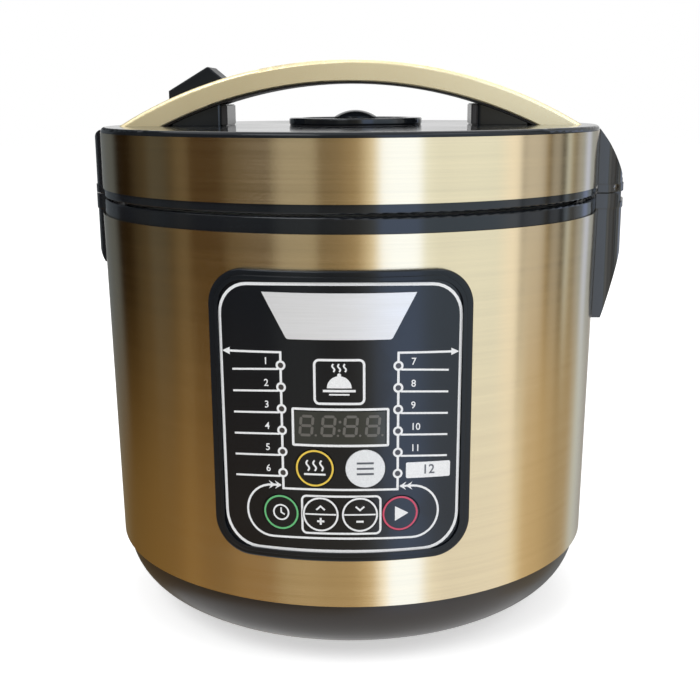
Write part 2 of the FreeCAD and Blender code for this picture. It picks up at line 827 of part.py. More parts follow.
# Temperature sensor with its guide and spring
sensor_radius = "heater_hole - slide_gap"
finish(turned("pot_sensor", [
    ("0", "pot_floor - fit_gap - sensor_height - sensor_stem_length"),
    ("sensor_stem", "pot_floor - fit_gap - sensor_height - sensor_stem_length"),
    ("sensor_stem", "pot_floor - fit_gap - sensor_height"),
    (sensor_radius, "pot_floor - fit_gap - sensor_height"),
    (sensor_radius, "pot_floor - fit_gap - 1.5"),
    (sensor_radius + " - 1.5", "pot_floor - fit_gap", "1.5", 1),
    ("0", "pot_floor - fit_gap"),
]), "pot_sensor")
strip = block("strip", ("-liner_hole - 7", "liner_hole + 7"),
              ("-sensor_bracket_width / 2", "sensor_bracket_width / 2"),
              ("liner_floor - sensor_bracket_sheet", "liner_floor"))
guide = rod("guide", "sensor_stem + fit_gap + 1.5", "0", "0",
            ("liner_floor - sensor_bracket_sheet - 4", "liner_floor"))
stem_hole = rod("stem_hole", "sensor_stem + fit_gap", "0", "0", ("liner_floor - 20", "liner_floor + 1"))
finish(cut("sensor_bracket", join("bracket_body", strip, guide), stem_hole), "sensor_bracket")
spring_room = size("sensor_spring_wire / 2 + fit_gap")
finish(coil("sensor_spring", size("sensor_spring_radius"), size("sensor_spring_wire"), 4, 0,
            size("liner_floor") + spring_room,
            size("pot_floor - fit_gap - sensor_height") - spring_room), "sensor_spring")

# Panel bezel: a rounded ridge, a lip and a collar through the window
def outside_panel(point, inset):
    """Whether a point lies outside the panel outline drawn in by the inset."""
    bend = size("panel_corner") - inset
    middle = size("shell_floor + (panel_low + panel_high) / 2")
    x = abs(point.x) - (size("panel_half") - inset - bend)
    z = abs(point.z - middle) - (size("panel_height") / 2 - inset - bend)
    return math.hypot(max(x, 0), max(z, 0)) > bend


outer_ridge = meet("outer_ridge",
                   cut("ridge_ring", panel_slab("ridge_out", "0"), panel_slab("ridge_in", "bezel_width")),
                   bent_sheet("ridge_layer", "fit_gap", "bezel_outer_proud"))
outer_ridge = rounded("outer_ridge", outer_ridge, "bezel_outer_edge",
                      lambda point: proud_of_sleeve(point) > size("bezel_outer_proud") - 0.05
                      and outside_panel(point, 1))
inner_ridge = meet("inner_ridge",
                   cut("lip_ring", panel_slab("lip_out", "bezel_outer_width"),
                       panel_slab("lip_in", "bezel_width")),
                   bent_sheet("lip_layer", "fit_gap", "bezel_inner_proud"))
collar = meet("collar",
              cut("collar_ring", panel_slab("collar_out", "bezel_outer_width + fit_gap * 2"),
                  panel_slab("collar_in", "bezel_width + bezel_ledge")),
              bent_sheet("collar_layer", "-bezel_depth", "face_back"))
finish(join("panel_bezel", outer_ridge, inner_ridge, collar), "panel_bezel")

# Keys with their guide tabs and stems
KEYS = {
    "key_warm": ("-key_upper_x", "key_upper_level", "key_upper_radius"),
    "key_menu": ("key_upper_x", "key_upper_level", "key_upper_radius"),
    "key_preset": ("-key_outer_x", "key_lower_level", "key_lower_radius"),
    "key_plus": ("-key_centre_x", "key_lower_level", "key_lower_radius"),
    "key_minus": ("key_centre_x", "key_lower_level", "key_lower_radius"),
    "key_start": ("key_outer_x", "key_lower_level", "key_lower_radius"),
}
front = ("-shell_top_radius - 20", "-60")
face_cuts = []
switches = []
for node, (x, level, radius) in KEYS.items():
    z = f"shell_floor + {level}"
    cap = meet("cap", bar("cap_round", radius, x, front, z),
               bent_sheet("cap_layer", "-key_skirt", "face_front + key_proud"))
    tab = meet("tab", block("tab_block", (f"{x} - key_tab_width / 2", f"{x} + key_tab_width / 2"), front,
                            (f"{z} - {radius} - key_tab", f"{z} + {radius} + key_tab")),
               bent_sheet("tab_layer", "-key_skirt", "face_back - fit_gap"))
    stem_end = "-board_front - switch_tip - key_travel - fit_gap"
    stem = meet("stem", bar("stem_round", "key_stem_radius", x, ("-shell_top_radius", stem_end), z),
                taper("stem_limit", "face_front"))
    finish(join(node, cap, tab, stem), node)
    face_cuts.append(bar("key_hole", f"{radius} + fit_gap", x, front, z))
    base = block("switch_base", (f"{x} - switch_side / 2", f"{x} + switch_side / 2"),
                 ("-board_front - switch_height", "-board_front"),
                 (f"{z} - switch_side / 2", f"{z} + switch_side / 2"))
    tip = bar("switch_tip", "key_stem_radius - 0.3", x, ("-board_front - switch_tip", "-board_front"), z)
    switches.append(join("switch", base, tip))
finish(gather("key_switches", *switches), "key_switches")

# Panel face with holes for keys, lights and display, and bosses for the board
lights = []
for side in ("-", ""):
    for row in range(6):
        x = f"{side}light_column"
        z = f"shell_floor + light_low + {row} * light_pitch"
        face_cuts.append(bar("light_hole", "light_radius + fit_gap / 2", x, front, z))
        lights.append(meet("light", bar("light_round", "light_radius", x, front, z),
                           bent_sheet("light_layer", "face_back - 4", "face_front + 0.05")))
window_x = ("-window_half", "window_half")
window_z = ("shell_floor + window_low", "shell_floor + window_high")
face_cuts.append(block("window_hole", window_x, front, window_z))
face_sheet = meet("face_sheet", panel_slab("face_out", "bezel_width + fit_gap"),
                  bent_sheet("face_layer", "face_back", "face_front"))
bosses = []
for side in ("-", ""):
    for level in ("board_low + board_boss_inset", "board_high - board_boss_inset"):
        round_boss = bar("boss", "board_boss_radius", f"{side}board_boss_x",
                         ("-shell_top_radius", "-board_front"), f"shell_floor + {level}")
        bosses.append(meet("boss_end", round_boss, taper("boss_limit", "face_back + 0.6")))
finish(cut("panel_face", join("face_body", face_sheet, *bosses), *face_cuts), "panel_face")
finish(gather("indicator_lenses", *lights), "indicator_lenses")
lens_block = block("lens_block", ("-window_half + fit_gap", "window_half - fit_gap"), front,
                   ("shell_floor + window_low + fit_gap", "shell_floor + window_high - fit_gap"))
finish(meet("display_window", lens_block, bent_sheet("lens_layer", "face_back", "face_front - 0.1")),
       "display_window")

# Bare badge plate, wider at the top
badge_low = "shell_floor + badge_low"
badge_high = "shell_floor + badge_high"
badge_slab = padded("badge_slab", "XZ_Plane", [
    ("badge_bottom_half - badge_corner", badge_low),
    ("badge_bottom_half + badge_corner * 0.45", f"{badge_low} + badge_corner", "badge_corner * 1.5", 1),
    ("badge_top_half", badge_high),
    ("-badge_top_half", badge_high),
    ("-badge_bottom_half - badge_corner * 0.45", f"{badge_low} + badge_corner"),
    ("-badge_bottom_half + badge_corner", badge_low, "badge_corner * 1.5", 1),
], "shell_top_radius + 20", "One side")
finish(meet("badge_plate", badge_slab,
            bent_sheet("badge_layer", "face_front + 0.1", "face_front + 0.1 + badge_sheet")), "badge_plate")

# Circuit board, display and supply board
finish(block("control_board", ("-board_half", "board_half"), ("-board_front", "-board_back"),
             ("shell_floor + board_low", "shell_floor + board_high")), "control_board")
display_centre = "shell_floor + (window_low + window_high) / 2"
finish(block("display_module", ("-display_half", "display_half"),
             ("-board_front - display_depth", "-board_front"),
             (f"{display_centre} - display_height / 2", f"{display_centre} + display_height / 2")),
       "display_module")
supply = block("supply", ("-supply_length / 2", "supply_length / 2"),
               ("-supply_width / 2", "supply_width / 2"), ("supply_level", "supply_level + board_sheet"))
deck = "supply_level + board_sheet"
transformer = block("transformer", ("-38", "-12"), ("-14", "14"), (deck, f"{deck} + 18"))
relay = block("relay", ("4", "22"), ("-22", "-6"), (deck, f"{deck} + 14"))
capacitor = rod("capacitor", "7", "14", "10", (deck, f"{deck} + 16"))
terminal = block("terminal", ("30", "41"), ("-14", "14"), (deck, f"{deck} + 10"))
finish(join("power_board", supply, transformer, relay, capacitor, terminal), "power_board")

# Power inlet at the back
def inlet_limits(extra):
    across = (f"-inlet_half - {extra}", f"inlet_half + {extra}")
    upright = (f"inlet_centre - inlet_half_height - {extra}", f"inlet_centre + inlet_half_height + {extra}")
    return across, upright


back = ("inlet_back", "shell_top_radius + 20")
across, upright = inlet_limits("inlet_flange")
flange = meet("inlet_rim", block("inlet_rim_block", across, back, upright),
              bent_sheet("inlet_rim_layer", "fit_gap", "inlet_proud"))
across, upright = inlet_limits("inlet_wall")
tunnel = meet("inlet_tunnel", block("inlet_tunnel_block", across, back, upright),
              taper("inlet_limit", "inlet_proud"))
across, upright = inlet_limits("0")
hollow = block("inlet_hollow", across, ("inlet_back + inlet_wall", "shell_top_radius + 21"), upright)
finish(cut("power_inlet", join("inlet_body", flange, tunnel), hollow), "power_inlet")
pins = []
for x, z in (("-inlet_pin_pitch / 2", "-2"), ("inlet_pin_pitch / 2", "-2"), ("0", "2")):
    pins.append(block("inlet_pin", (f"{x} - 1", f"{x} + 1"),
                      ("inlet_back + inlet_wall", "inlet_back + inlet_wall + inlet_pin"),
                      (f"inlet_centre + {z} - 2", f"inlet_centre + {z} + 2")))
finish(gather("inlet_pins", *pins), "inlet_pins")


# Rounded lug that stands off the body at the hinge or the latch, with a collar at the seam
def lug(name, side, reach, low, high, inset="0"):
    foot = f"{side} * (rim_radius - 12)"
    bend = f"lug_round - ({inset})"
    half = f"lug_half - ({inset})"
    shoulder = f"{side} * ({reach} - lug_round + sqrt(({bend})^2 - ({half})^2))"
    steps = [
        (foot, f"-({half})"),
        (shoulder, f"-({half})"),
        (shoulder, half, bend, side),
        (foot, half),
    ]
    body = padded(name, "XY_Plane", steps, f"({high}) - ({low})", "One side")
    round_edges(body, "lug_edge", lambda edge: abs(edge.CenterOfMass.x) > size("rim_radius - 11") and bend_of(edge) == 0
                and abs(edge.tangentAt(edge.FirstParameter).z) > 0.9)
    return place(body, z=low)


def stepped_lug(name, side, reach, low, step, high, collar_below):
    lower = lug(name, side, reach, low, step, "0" if collar_below else "lug_step")
    upper = lug(name, side, reach, step, high, "lug_step" if collar_below else "0")
    return join(name, lower, upper)


def body_room(name):
    """Space taken by the sleeve and the rim, with the fitting gap."""
    rim = rod(name, "rim_radius + fit_gap / 2", "0", "0", ("shell_top", "lid_floor"))
    return join(name, taper(name, "fit_gap / 2"), rim)


def lid_room(name):
    return rod(name, "band_radius + fit_gap / 2", "0", "0", ("seam_floor", "lid_top + 5"))


# Hinge bracket with two knuckles on the body
def knuckle_pair(name, radius, near, far):
    pieces = []
    for low, high in ((f"-({far})", f"-({near})"), (near, far)):
        pieces.append(bar(name, radius, "hinge_x", (low, high), "hinge_level"))
    return pieces


hinge_low = "shell_floor + hinge_lug_low"
bracket_side = padded("bracket_side", "XZ_Plane", [
    ("rim_radius - 12", hinge_low),
    ("hinge_lug_toe", hinge_low),
    ("hinge_lug_x + 1", f"{hinge_low} + hinge_lug_taper"),
    ("hinge_lug_x + 1", "lug_top"),
    ("rim_radius - 12", "lug_top"),
], "lug_half * 2 + 2")
bracket_lug = stepped_lug("bracket_lug", 1, "hinge_lug_x", hinge_low, "shell_top", "lug_top", False)
bracket_block = meet("bracket_block", bracket_lug, bracket_side)
relief = bar("relief", "hinge_relief", "hinge_x", ("-relief_half", "relief_half"), "hinge_level")
swing_room = block("swing_room", ("rim_radius - 12", "hinge_lug_x + 1"),
                   ("-relief_half - 1.2", "relief_half + 1.2"), ("seam_floor", "lid_floor"))
bracket_knuckles = []
for low, high in (("-knuckle_end", "-knuckle_half - fit_gap"), ("knuckle_half + fit_gap", "knuckle_end")):
    barrel = bar("barrel", "knuckle_radius", "hinge_x", (low, high), "hinge_level")
    neck = block("neck", ("hinge_x - knuckle_radius", "hinge_x + knuckle_radius"), (low, high),
                 ("hinge_level - hinge_relief - 2", "hinge_level"))
    bracket_knuckles.extend([barrel, neck])
bracket_open = cut("bracket_open", bracket_block, body_room("bracket_room"), relief, swing_room)
bracket_body = join("bracket_body", bracket_open, *bracket_knuckles)
bracket_bore = bar("bracket_bore", "hinge_pin_radius", "hinge_x", ("-lug_half", "lug_half"), "hinge_level")
finish(cut("hinge_bracket", bracket_body, bracket_bore), "hinge_bracket")
finish(bar("hinge_pin", "hinge_pin_radius", "hinge_x", ("-knuckle_end", "knuckle_end"), "hinge_level"),
       "hinge_pin")

# Hinge cover on the lid with the middle knuckle
cover_side = padded("cover_side", "XZ_Plane", [
    ("rim_radius - 12", "lid_floor"),
    ("hinge_lug_x", "lid_floor"),
    ("hinge_lug_x", "lid_floor + hinge_cover_foot"),
    ("band_radius - 1.5", "lid_top - 1.5", "hinge_cover_bend", 1),
    ("rim_radius - 12", "lid_top - 1.5"),
], "lug_half * 2 + 2")
cover_lug = stepped_lug("cover_lug", 1, "hinge_lug_x", "lid_floor", "band_floor", "lid_top", True)
cover_block = meet("cover_block", cover_lug, cover_side)
pockets = knuckle_pair("pocket", "knuckle_pocket", "knuckle_half", "knuckle_end + fit_gap")
cover_knuckle = bar("cover_knuckle", "knuckle_radius", "hinge_x", ("-knuckle_half", "knuckle_half"),
                    "hinge_level")
cover_body = join("cover_body", cut("cover_open", cover_block, lid_room("cover_room"), *pockets), cover_knuckle)
cover_bore = bar("cover_bore", "hinge_pin_radius + running_gap", "hinge_x", ("-lug_half", "lug_half"),
                 "hinge_level")
finish(cut("hinge_cover", cover_body, cover_bore), "hinge_cover")

# Catch housing on the body and its strike plate
latch_low = "shell_floor + latch_lug_low"
catch_side = padded("catch_side", "XZ_Plane", [
    ("-rim_radius + 12", latch_low),
    ("-rim_radius + 12", "lug_top"),
    ("-latch_lug_x - 1", "lug_top"),
    ("-latch_lug_x - 1", f"{latch_low} + latch_lug_taper"),
    ("-latch_lug_toe", latch_low, "latch_lug_taper * 1.5", 1),
], "lug_half * 2 + 2")
catch_lug = stepped_lug("catch_lug", -1, "latch_lug_x", latch_low, "shell_top", "lug_top", False)
catch_block = meet("catch_block", catch_lug, catch_side)
hook_far = "-hook_x - hook_thick - hook_swing"
hook_wide = ("-link_half - slide_gap", "link_half + slide_gap")
catch_hollow = block("catch_hollow", (hook_far, "-rim_radius + 2"), hook_wide,
                     ("hook_floor - 2", "lid_floor"))
finish(cut("catch_housing", catch_block, body_room("catch_room"), catch_hollow), "catch_housing")
strike_face = "-hook_x + hook_nose + fit_gap"
finish(block("strike_plate", (strike_face, "-rim_radius - fit_gap / 2"), ("-strike_half", "strike_half"),
             ("seam_floor - 1 - strike_height", "seam_floor - 1")), "strike_plate")

# Latch housing on the lid
latch_side = padded("latch_side", "XZ_Plane", [
    ("-rim_radius + 12", "lid_floor"),
    ("-rim_radius + 12", "lid_top - 1.5"),
    ("-latch_lug_x + latch_cover_bend", "lid_top - 1.5"),
    ("-latch_lug_x", "lid_top - 1.5 - latch_cover_bend", "latch_cover_bend", 1),
    ("-latch_lug_x", "lid_floor"),
], "lug_half * 2 + 2")
latch_lug = stepped_lug("latch_lug", -1, "latch_lug_x", "lid_floor", "band_floor", "lid_top", True)
latch_block = meet("latch_block", latch_lug, latch_side)
latch_hollow = block("latch_hollow", (hook_far, "-rim_radius + 2"), hook_wide,
                     ("lid_floor - 1", "link_top + 2"))
finish(cut("latch_housing", latch_block, lid_room("latch_room"), latch_hollow), "latch_housing")

# Latch link: hook in the lug and arm under the lever finger
link_side = padded("link_side", "XZ_Plane", [
    ("-link_end_x", "link_under + 1"),
    ("-link_end_x", "link_top"),
    ("-hook_x - hook_thick", "link_top"),
    ("-hook_x - hook_thick", "hook_floor"),
    ("-hook_x", "hook_floor"),
    ("-hook_x + hook_nose", "hook_floor + hook_nose"),
    ("-hook_x + hook_nose", "hook_floor + hook_nose_height"),
    ("-hook_x", "hook_floor + hook_nose_height"),
    ("-hook_x", "link_under - 2"),
    ("-hook_x + 2", "link_under", "2", -1),
    ("-link_end_x - 8", "link_under"),
], "link_half * 2")
link_bore = bar("link_bore", "pin_radius + running_gap", "-link_pivot_x", ("-20", "20"), "link_pivot")
finish(cut("latch_link", link_side, link_bore), "latch_link")

# Inner pan of the lid with the ears of the latch and the stud of the inner lid
pan = turned("pan", [
    ("0", "inner_lid_under - nut_height"),
    ("stud_radius", "inner_lid_under - nut_height"),
    ("stud_radius", "inner_lid_under + inner_lid_sheet"),
    ("stud_boss", "inner_lid_under + inner_lid_sheet"),
    ("stud_boss", "pan_floor"),
    ("liner_pan_radius", "pan_floor"),
    ("liner_pan_radius", "pan_deck"),
    ("0", "pan_deck"),
])
ears = []
ear_x = ("-link_pivot_x - ear_half", "-link_pivot_x + ear_half")
ear_z = ("pan_deck - 1", "link_pivot + ear_half")
for low, high in (("-link_half - slide_gap - ear_thick", "-link_half - slide_gap"),
                  ("link_half + slide_gap", "link_half + slide_gap + ear_thick")):
    ears.append(block("ear", ear_x, (low, high), ear_z))
spring_peg = rod("spring_peg", "latch_spring_radius - latch_spring_wire - fit_gap", "-latch_spring_x", "0",
                 ("pan_deck - 1", "pan_deck + 4"))
latch_pin_end = "link_half + slide_gap + ear_thick"
ear_bore = bar("ear_bore", "pin_radius", "-link_pivot_x", (f"-({latch_pin_end}) - 1", f"{latch_pin_end} + 1"),
               "link_pivot")
steam_bore = rod("steam_bore", "spout_bore", "vent_x + spout_offset", "0", ("pan_floor - 1", "pan_deck + 1"))
finish(cut("lid_liner", join("pan_body", pan, *ears, spring_peg), ear_bore, steam_bore), "lid_liner")
finish(bar("latch_pin", "pin_radius", "-link_pivot_x", (f"-({latch_pin_end})", latch_pin_end), "link_pivot"),
       "latch_pin")
coil_room = size("latch_spring_wire / 2 + fit_gap")
finish(coil("latch_spring", size("latch_spring_radius"), size("latch_spring_wire"), 5,
            size("-latch_spring_x"), size("pan_deck") + coil_room, size("link_under") - coil_room),
       "latch_spring")

# Ring, band and cover of the lid
finish(turned("lid_ring", [
    ("lid_ring_bore", "lid_floor"),
    ("rim_radius - 0.8", "lid_floor"),
    ("rim_radius", "lid_floor + 0.8", "0.8", 1),
    ("rim_radius", "band_floor"),
    ("lid_spigot_radius", "band_floor"),
    ("lid_spigot_radius", "lid_floor + lid_spigot"),
    ("lid_spigot_radius - lid_wall", "lid_floor + lid_spigot"),
    ("lid_spigot_radius - lid_wall", "pan_floor"),
    ("lid_ring_bore", "pan_floor"),
]), "lid_ring")
band = turned("band", [
    ("band_inner", "band_floor"),
    ("band_radius", "band_floor"),
    ("band_radius", "band_top"),
    ("band_inner", "band_top"),
])
band_slot = block("band_slot", ("-band_radius - 5", "-band_radius + 5"), hook_wide,
                  ("link_under - 1.5", "link_top + 1.5"))
finish(cut("lid_band", band, band_slot), "lid_band")
cover_disc = turned("cover_disc", [
    ("0", "lid_under"),
    ("lid_spigot_radius - lid_wall", "lid_under"),
    ("lid_spigot_radius - lid_wall", "lid_under - lid_cover_spigot"),
    ("lid_spigot_radius", "lid_under - lid_cover_spigot"),
    ("lid_spigot_radius", "lid_under"),
    ("band_radius - 0.2", "lid_under"),
    ("band_radius - 0.2", "lid_top - lid_edge"),
    ("band_radius - 0.2 - lid_edge", "lid_top", "lid_edge", 1),
    ("0", "lid_top"),
])
cover_cuts = [
    rod("vent_hole", "vent_skirt + slide_gap + vent_wall + fit_gap", "vent_x", "0", ("lid_under - 1", "lid_top + 1")),
    block("finger_slot", ("-finger_x - finger_width / 2 - finger_swing", "-slot_inner_x"),
          ("-finger_half - slide_gap", "finger_half + slide_gap"), ("lid_under - 1", "lid_top + 1")),
]
arch_bores = []
handle_screws = []
for side_x in ("-", ""):
    for side_y in ("-", ""):
        spot = (f"{side_x}handle_screw_x", f"{side_y}handle_screw_y")
        cover_cuts.append(rod("cover_bore", "screw_radius + fit_gap", *spot, ("lid_under - 1", "lid_top + 1")))
        arch_bores.append(rod("arch_bore", "screw_radius + fit_gap", *spot,
                              ("lid_top - 1", "lid_top + handle_screw_length - lid_lip")))
        shaft = rod("shaft", "screw_radius", *spot, ("lid_under", "lid_under + handle_screw_length"))
        head = rod("head", "screw_head", *spot, ("lid_under - screw_head_height", "lid_under"))
        handle_screws.append(join("handle_screw", shaft, head))
finish(cut("lid_cover", cover_disc, *cover_cuts), "lid_cover")
finish(gather("handle_screws", *handle_screws), "handle_screws")

# Inner lid plate, its nut and the seal
dish = turned("dish", [
    ("stud_radius + fit_gap / 2", "inner_lid_under"),
    ("inner_lid_floor_radius", "inner_lid_under"),
    ("inner_lid_step", "inner_lid_flange"),
    ("inner_lid_radius", "inner_lid_flange"),
    ("inner_lid_radius", "inner_lid_flange + inner_lid_sheet"),
    ("inner_lid_step - 1", "inner_lid_flange + inner_lid_sheet"),
    ("inner_lid_floor_radius - 1", "inner_lid_under + inner_lid_sheet"),
    ("stud_radius + fit_gap / 2", "inner_lid_under + inner_lid_sheet"),
])
steam_holes = []
for step in range(8):
    x, y = around("inner_lid_holes", 45 * step)
    steam_holes.append(rod("steam_hole", "inner_lid_hole", x, y, ("inner_lid_under - 1", "inner_lid_flange + 5")))
finish(cut("inner_lid", dish, *steam_holes), "inner_lid")
finish(turned("inner_lid_nut", [
    ("stud_radius + fit_gap / 2", "inner_lid_under - nut_height"),
    ("nut_radius - 4", "inner_lid_under - nut_height"),
    ("nut_radius", "inner_lid_under - nut_height + 4", "4", 1),
    ("nut_radius", "inner_lid_under"),
    ("stud_radius + fit_gap / 2", "inner_lid_under"),
]), "inner_lid_nut")
finish(turned("lid_seal", [
    ("seal_inner", "inner_lid_flange"),
    ("seal_inner", "seal_floor + seal_taper"),
    ("seal_inner + seal_taper", "seal_floor", "seal_taper", 1),
    ("seal_outer - seal_taper", "seal_floor"),
    ("seal_outer", "seal_floor + seal_taper", "seal_taper", 1),
    ("seal_outer", "inner_lid_flange"),
]), "lid_seal")

# Steam vent: fixed cup, lifting cap with gasket and knob
cup_bore = "vent_skirt + slide_gap"
cup = turned("cup", [
    ("0", "cup_floor"),
    (cup_bore + " + vent_wall", "cup_floor"),
    (cup_bore + " + vent_wall", "lid_top"),
    (cup_bore, "lid_top"),
    (cup_bore, "cup_floor + vent_wall"),
    ("0", "cup_floor + vent_wall"),
])
spout = rod("spout", "spout_radius", "spout_offset", "0", ("pan_deck", "cup_floor + 1"))
spout_hole = rod("spout_hole", "spout_bore", "spout_offset", "0", ("pan_deck - 1", "cup_floor + 10"))
finish(place(cut("vent_cup", join("cup_body", cup, spout), spout_hole), x="vent_x"), "vent_cup")
cap_floor = "lid_top + fit_gap"
cap_top = "lid_top + fit_gap + vent_height"
cap = turned("vent_cap", [
    ("0", cap_floor),
    ("vent_skirt - vent_wall", cap_floor),
    ("vent_skirt - vent_wall", f"{cap_floor} - vent_skirt_depth"),
    ("vent_skirt", f"{cap_floor} - vent_skirt_depth"),
    ("vent_skirt", cap_floor),
    ("vent_radius - vent_edge", cap_floor),
    ("vent_radius", f"{cap_floor} + vent_edge", "vent_edge", 1),
    ("vent_radius", f"{cap_top} - vent_edge"),
    ("vent_radius - vent_edge", cap_top, "vent_edge", 1),
    ("vent_dish", cap_top),
    ("vent_dish - vent_dish_depth", f"{cap_top} - vent_dish_depth"),
    ("0", f"{cap_top} - vent_dish_depth"),
])
outlets = []
for step in range(5):
    slot = block("outlet", ("17", "26"), ("-1.3", "1.3"), (f"{cap_floor} - 1", f"{cap_top} + 1"))
    turn = doc.addObject("Part::Compound", tool_name("outlet_turn"))
    turn.Links = [slot]
    turn.Placement = FreeCAD.Placement(Vector(), FreeCAD.Rotation(Vector(0, 0, 1), 50 + 20 * step))
    outlets.append(turn)
finish(place(cut("vent_cap", cap, *outlets), x="vent_x"), "vent_cap")
knob_floor = f"{cap_top} - vent_dish_depth"
knob_ball = "(knob_radius^2 + (knob_rise - knob_foot)^2) / (2 * (knob_rise - knob_foot))"
finish(place(turned("vent_knob", [
    ("0", knob_floor),
    ("knob_radius", knob_floor),
    ("knob_radius", f"{knob_floor} + knob_foot"),
    ("0", f"{knob_floor} + knob_rise", knob_ball, 1),
]), x="vent_x"), "vent_knob")
finish(place(turned("vent_gasket", [
    ("vent_skirt + fit_gap / 2", f"{cap_floor} - 0.1 - gasket_section * 3"),
    ("vent_skirt + slide_gap * 0.7", f"{cap_floor} - 0.1 - gasket_section * 3"),
    ("vent_skirt + slide_gap * 0.7", f"{cap_floor} - 0.1 - gasket_section"),
    ("vent_skirt + fit_gap / 2", f"{cap_floor} - 0.1 - gasket_section"),
]), x="vent_x"), "vent_gasket")


# Handle arch, grip and supports
def arch_z(radius, x):
    return f"arch_centre + sqrt(({radius})^2 - ({x})^2)"


def arch_x(radius):
    return f"sqrt(({radius})^2 - (lid_top - arch_centre)^2)"


def arch_body(name, inner, outer, half):
    steps = [
        (arch_x(inner), "lid_top", inner, -1),
        (arch_x(outer), "lid_top"),
        ("0", f"arch_centre + {outer}", outer, 1),
        ("-" + arch_x(outer), "lid_top", outer, 1),
        ("-" + arch_x(inner), "lid_top"),
        ("0", f"arch_centre + {inner}", inner, -1),
    ]
    return padded(name, "XZ_Plane", steps, f"({half}) * 2")


finger_x = ("-finger_x - finger_width / 2 - finger_swing", "-slot_inner_x")
finger_y = ("-finger_half - slide_gap", "finger_half + slide_gap")
finger_room = ("lid_top - 1", "lid_top + handle_rise")
arch_solid = arch_body("arch_solid", "arch_inner", "arch_outer", "arch_half")
round_edges(arch_solid, "arch_edge", lambda edge: on_side(edge, "arch_half") and bend_of(edge) > size("arch_channel"))
round_edges(arch_solid, "arch_lower_edge",
            lambda edge: on_side(edge, "arch_half") and abs(bend_of(edge) - size("arch_inner")) < 0.01)
channel = arch_body("arch_channel", "arch_inner - 3", "arch_channel", "grip_half + fit_gap")
lever_pocket = block("lever_pocket", ("-lever_heel_x - slide_gap * 2", "-lever_toe_x + lever_swing"),
                     ("-lever_half - slide_gap", "lever_half + slide_gap"),
                     ("lid_top + 0.8", "lid_top + handle_rise"))
lever_pin_end = "lever_half + slide_gap + 4"
lever_pin_y = (f"-({lever_pin_end})", lever_pin_end)
arch_pin_bore = bar("arch_pin_bore", "pin_radius", "-lever_pivot_x", lever_pin_y, "lever_pivot")
finish(cut("handle_arch", arch_solid, channel, lever_pocket, arch_pin_bore, *arch_bores), "handle_arch")
finish(bar("lever_pin", "pin_radius", "-lever_pivot_x", lever_pin_y, "lever_pivot"), "lever_pin")
grip_solid = arch_body("grip_solid", "grip_inner", "arch_channel - fit_gap", "grip_half")
grip_slot = block("grip_slot", finger_x, finger_y, finger_room)
grip_bores = []
for side_x in ("-", ""):
    for side_y in ("-", ""):
        grip_bores.append(rod("grip_bore", "screw_radius + fit_gap", f"{side_x}handle_screw_x",
                              f"{side_y}handle_screw_y", finger_room))
finish(cut("handle_grip", grip_solid, grip_slot, *grip_bores), "handle_grip")


def support(name, side, inner_x):
    under = "grip_inner - fit_gap"
    outer = f"{side} * support_outer_x"
    inner = f"{side} * {inner_x}"
    steps = [
        (outer, "lid_top"),
        (outer, arch_z(under, "support_outer_x")),
        (inner, arch_z(under, inner_x), under, side),
        (inner, "lid_top"),
    ]
    body = padded(name, "XZ_Plane", steps, "support_half * 2")
    return round_edges(body, "support_edge", lambda edge: on_side(edge, "support_half")
                       and abs(abs(edge.CenterOfMass.x) - size(inner_x)) < 0.01)


left_body = support("support_left", -1, "slot_support_x")
finish(cut("support_left", left_body, block("support_slot", finger_x, finger_y, finger_room)), "handle_support_left")
finish(support("support_right", 1, "support_inner_x"), "handle_support_right")

# Release lever with the finger that presses the latch link
lever_side = padded("lever_side", "XZ_Plane", [
    ("-lever_heel_x", "lever_pivot - 3"),
    ("-lever_pivot_x + 4", "lever_pivot - 2"),
    ("-lever_toe_x", "lid_top + lever_toe_rise - lever_toe_depth"),
    ("-lever_toe_x", "lid_top + lever_toe_rise"),
    ("-lever_peak_x + lever_round", "lid_top + lever_peak_rise - lever_round"),
    ("-lever_peak_x - lever_round", "lid_top + lever_peak_rise - lever_round * 0.6", "lever_round * 1.4", 1),
    ("-lever_heel_x", "lid_top + lever_heel_rise"),
], "lever_half * 2")
lever_top = rounded("lever_top", lever_side, "lever_edge", lambda point: abs(point.y) > size("lever_half") - 0.01
                    and point.z > size("lever_pivot"))
finger = block("finger", ("-finger_x - finger_width / 2", "-finger_x + finger_width / 2"),
               ("-finger_half", "finger_half"), ("link_top + fit_gap", "lid_top + lever_toe_rise - 6"))
lever_bore = bar("lever_bore", "pin_radius + running_gap", "-lever_pivot_x", lever_pin_y, "lever_pivot")
finish(cut("release_lever", join("lever_body", lever_top, finger), lever_bore), "release_lever")

# Build, check and write one file for each sub-part
doc.recompute()
faults = []
for item in doc.Objects:
    if any(word in ("Invalid", "Error") for word in item.State):
        faults.append(f"{item.Name} {item.State}")
for node, item in finished.items():
    if item.Shape.isNull() or not item.Shape.isValid() or not item.Shape.Solids:
        faults.append(f"{node} has no valid solid")
if faults:
    raise RuntimeError("; ".join(faults))
os.makedirs("parts", exist_ok=True)
to_middle = Vector(-size("frame_shift"), 0, 0)
for node, item in finished.items():
    shape = item.Shape.copy()
    shape.translate(to_middle)
    shape.exportStep(f"parts/{node}.step")
print(len(finished), "sub-parts written")
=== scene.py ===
"""Finishes, panel print and studio for a round multicooker with a yogurt programme."""

import math

import bmesh
import bpy
from bpy.props import FloatProperty, FloatVectorProperty, IntProperty, PointerProperty
from mathutils import Matrix, Vector


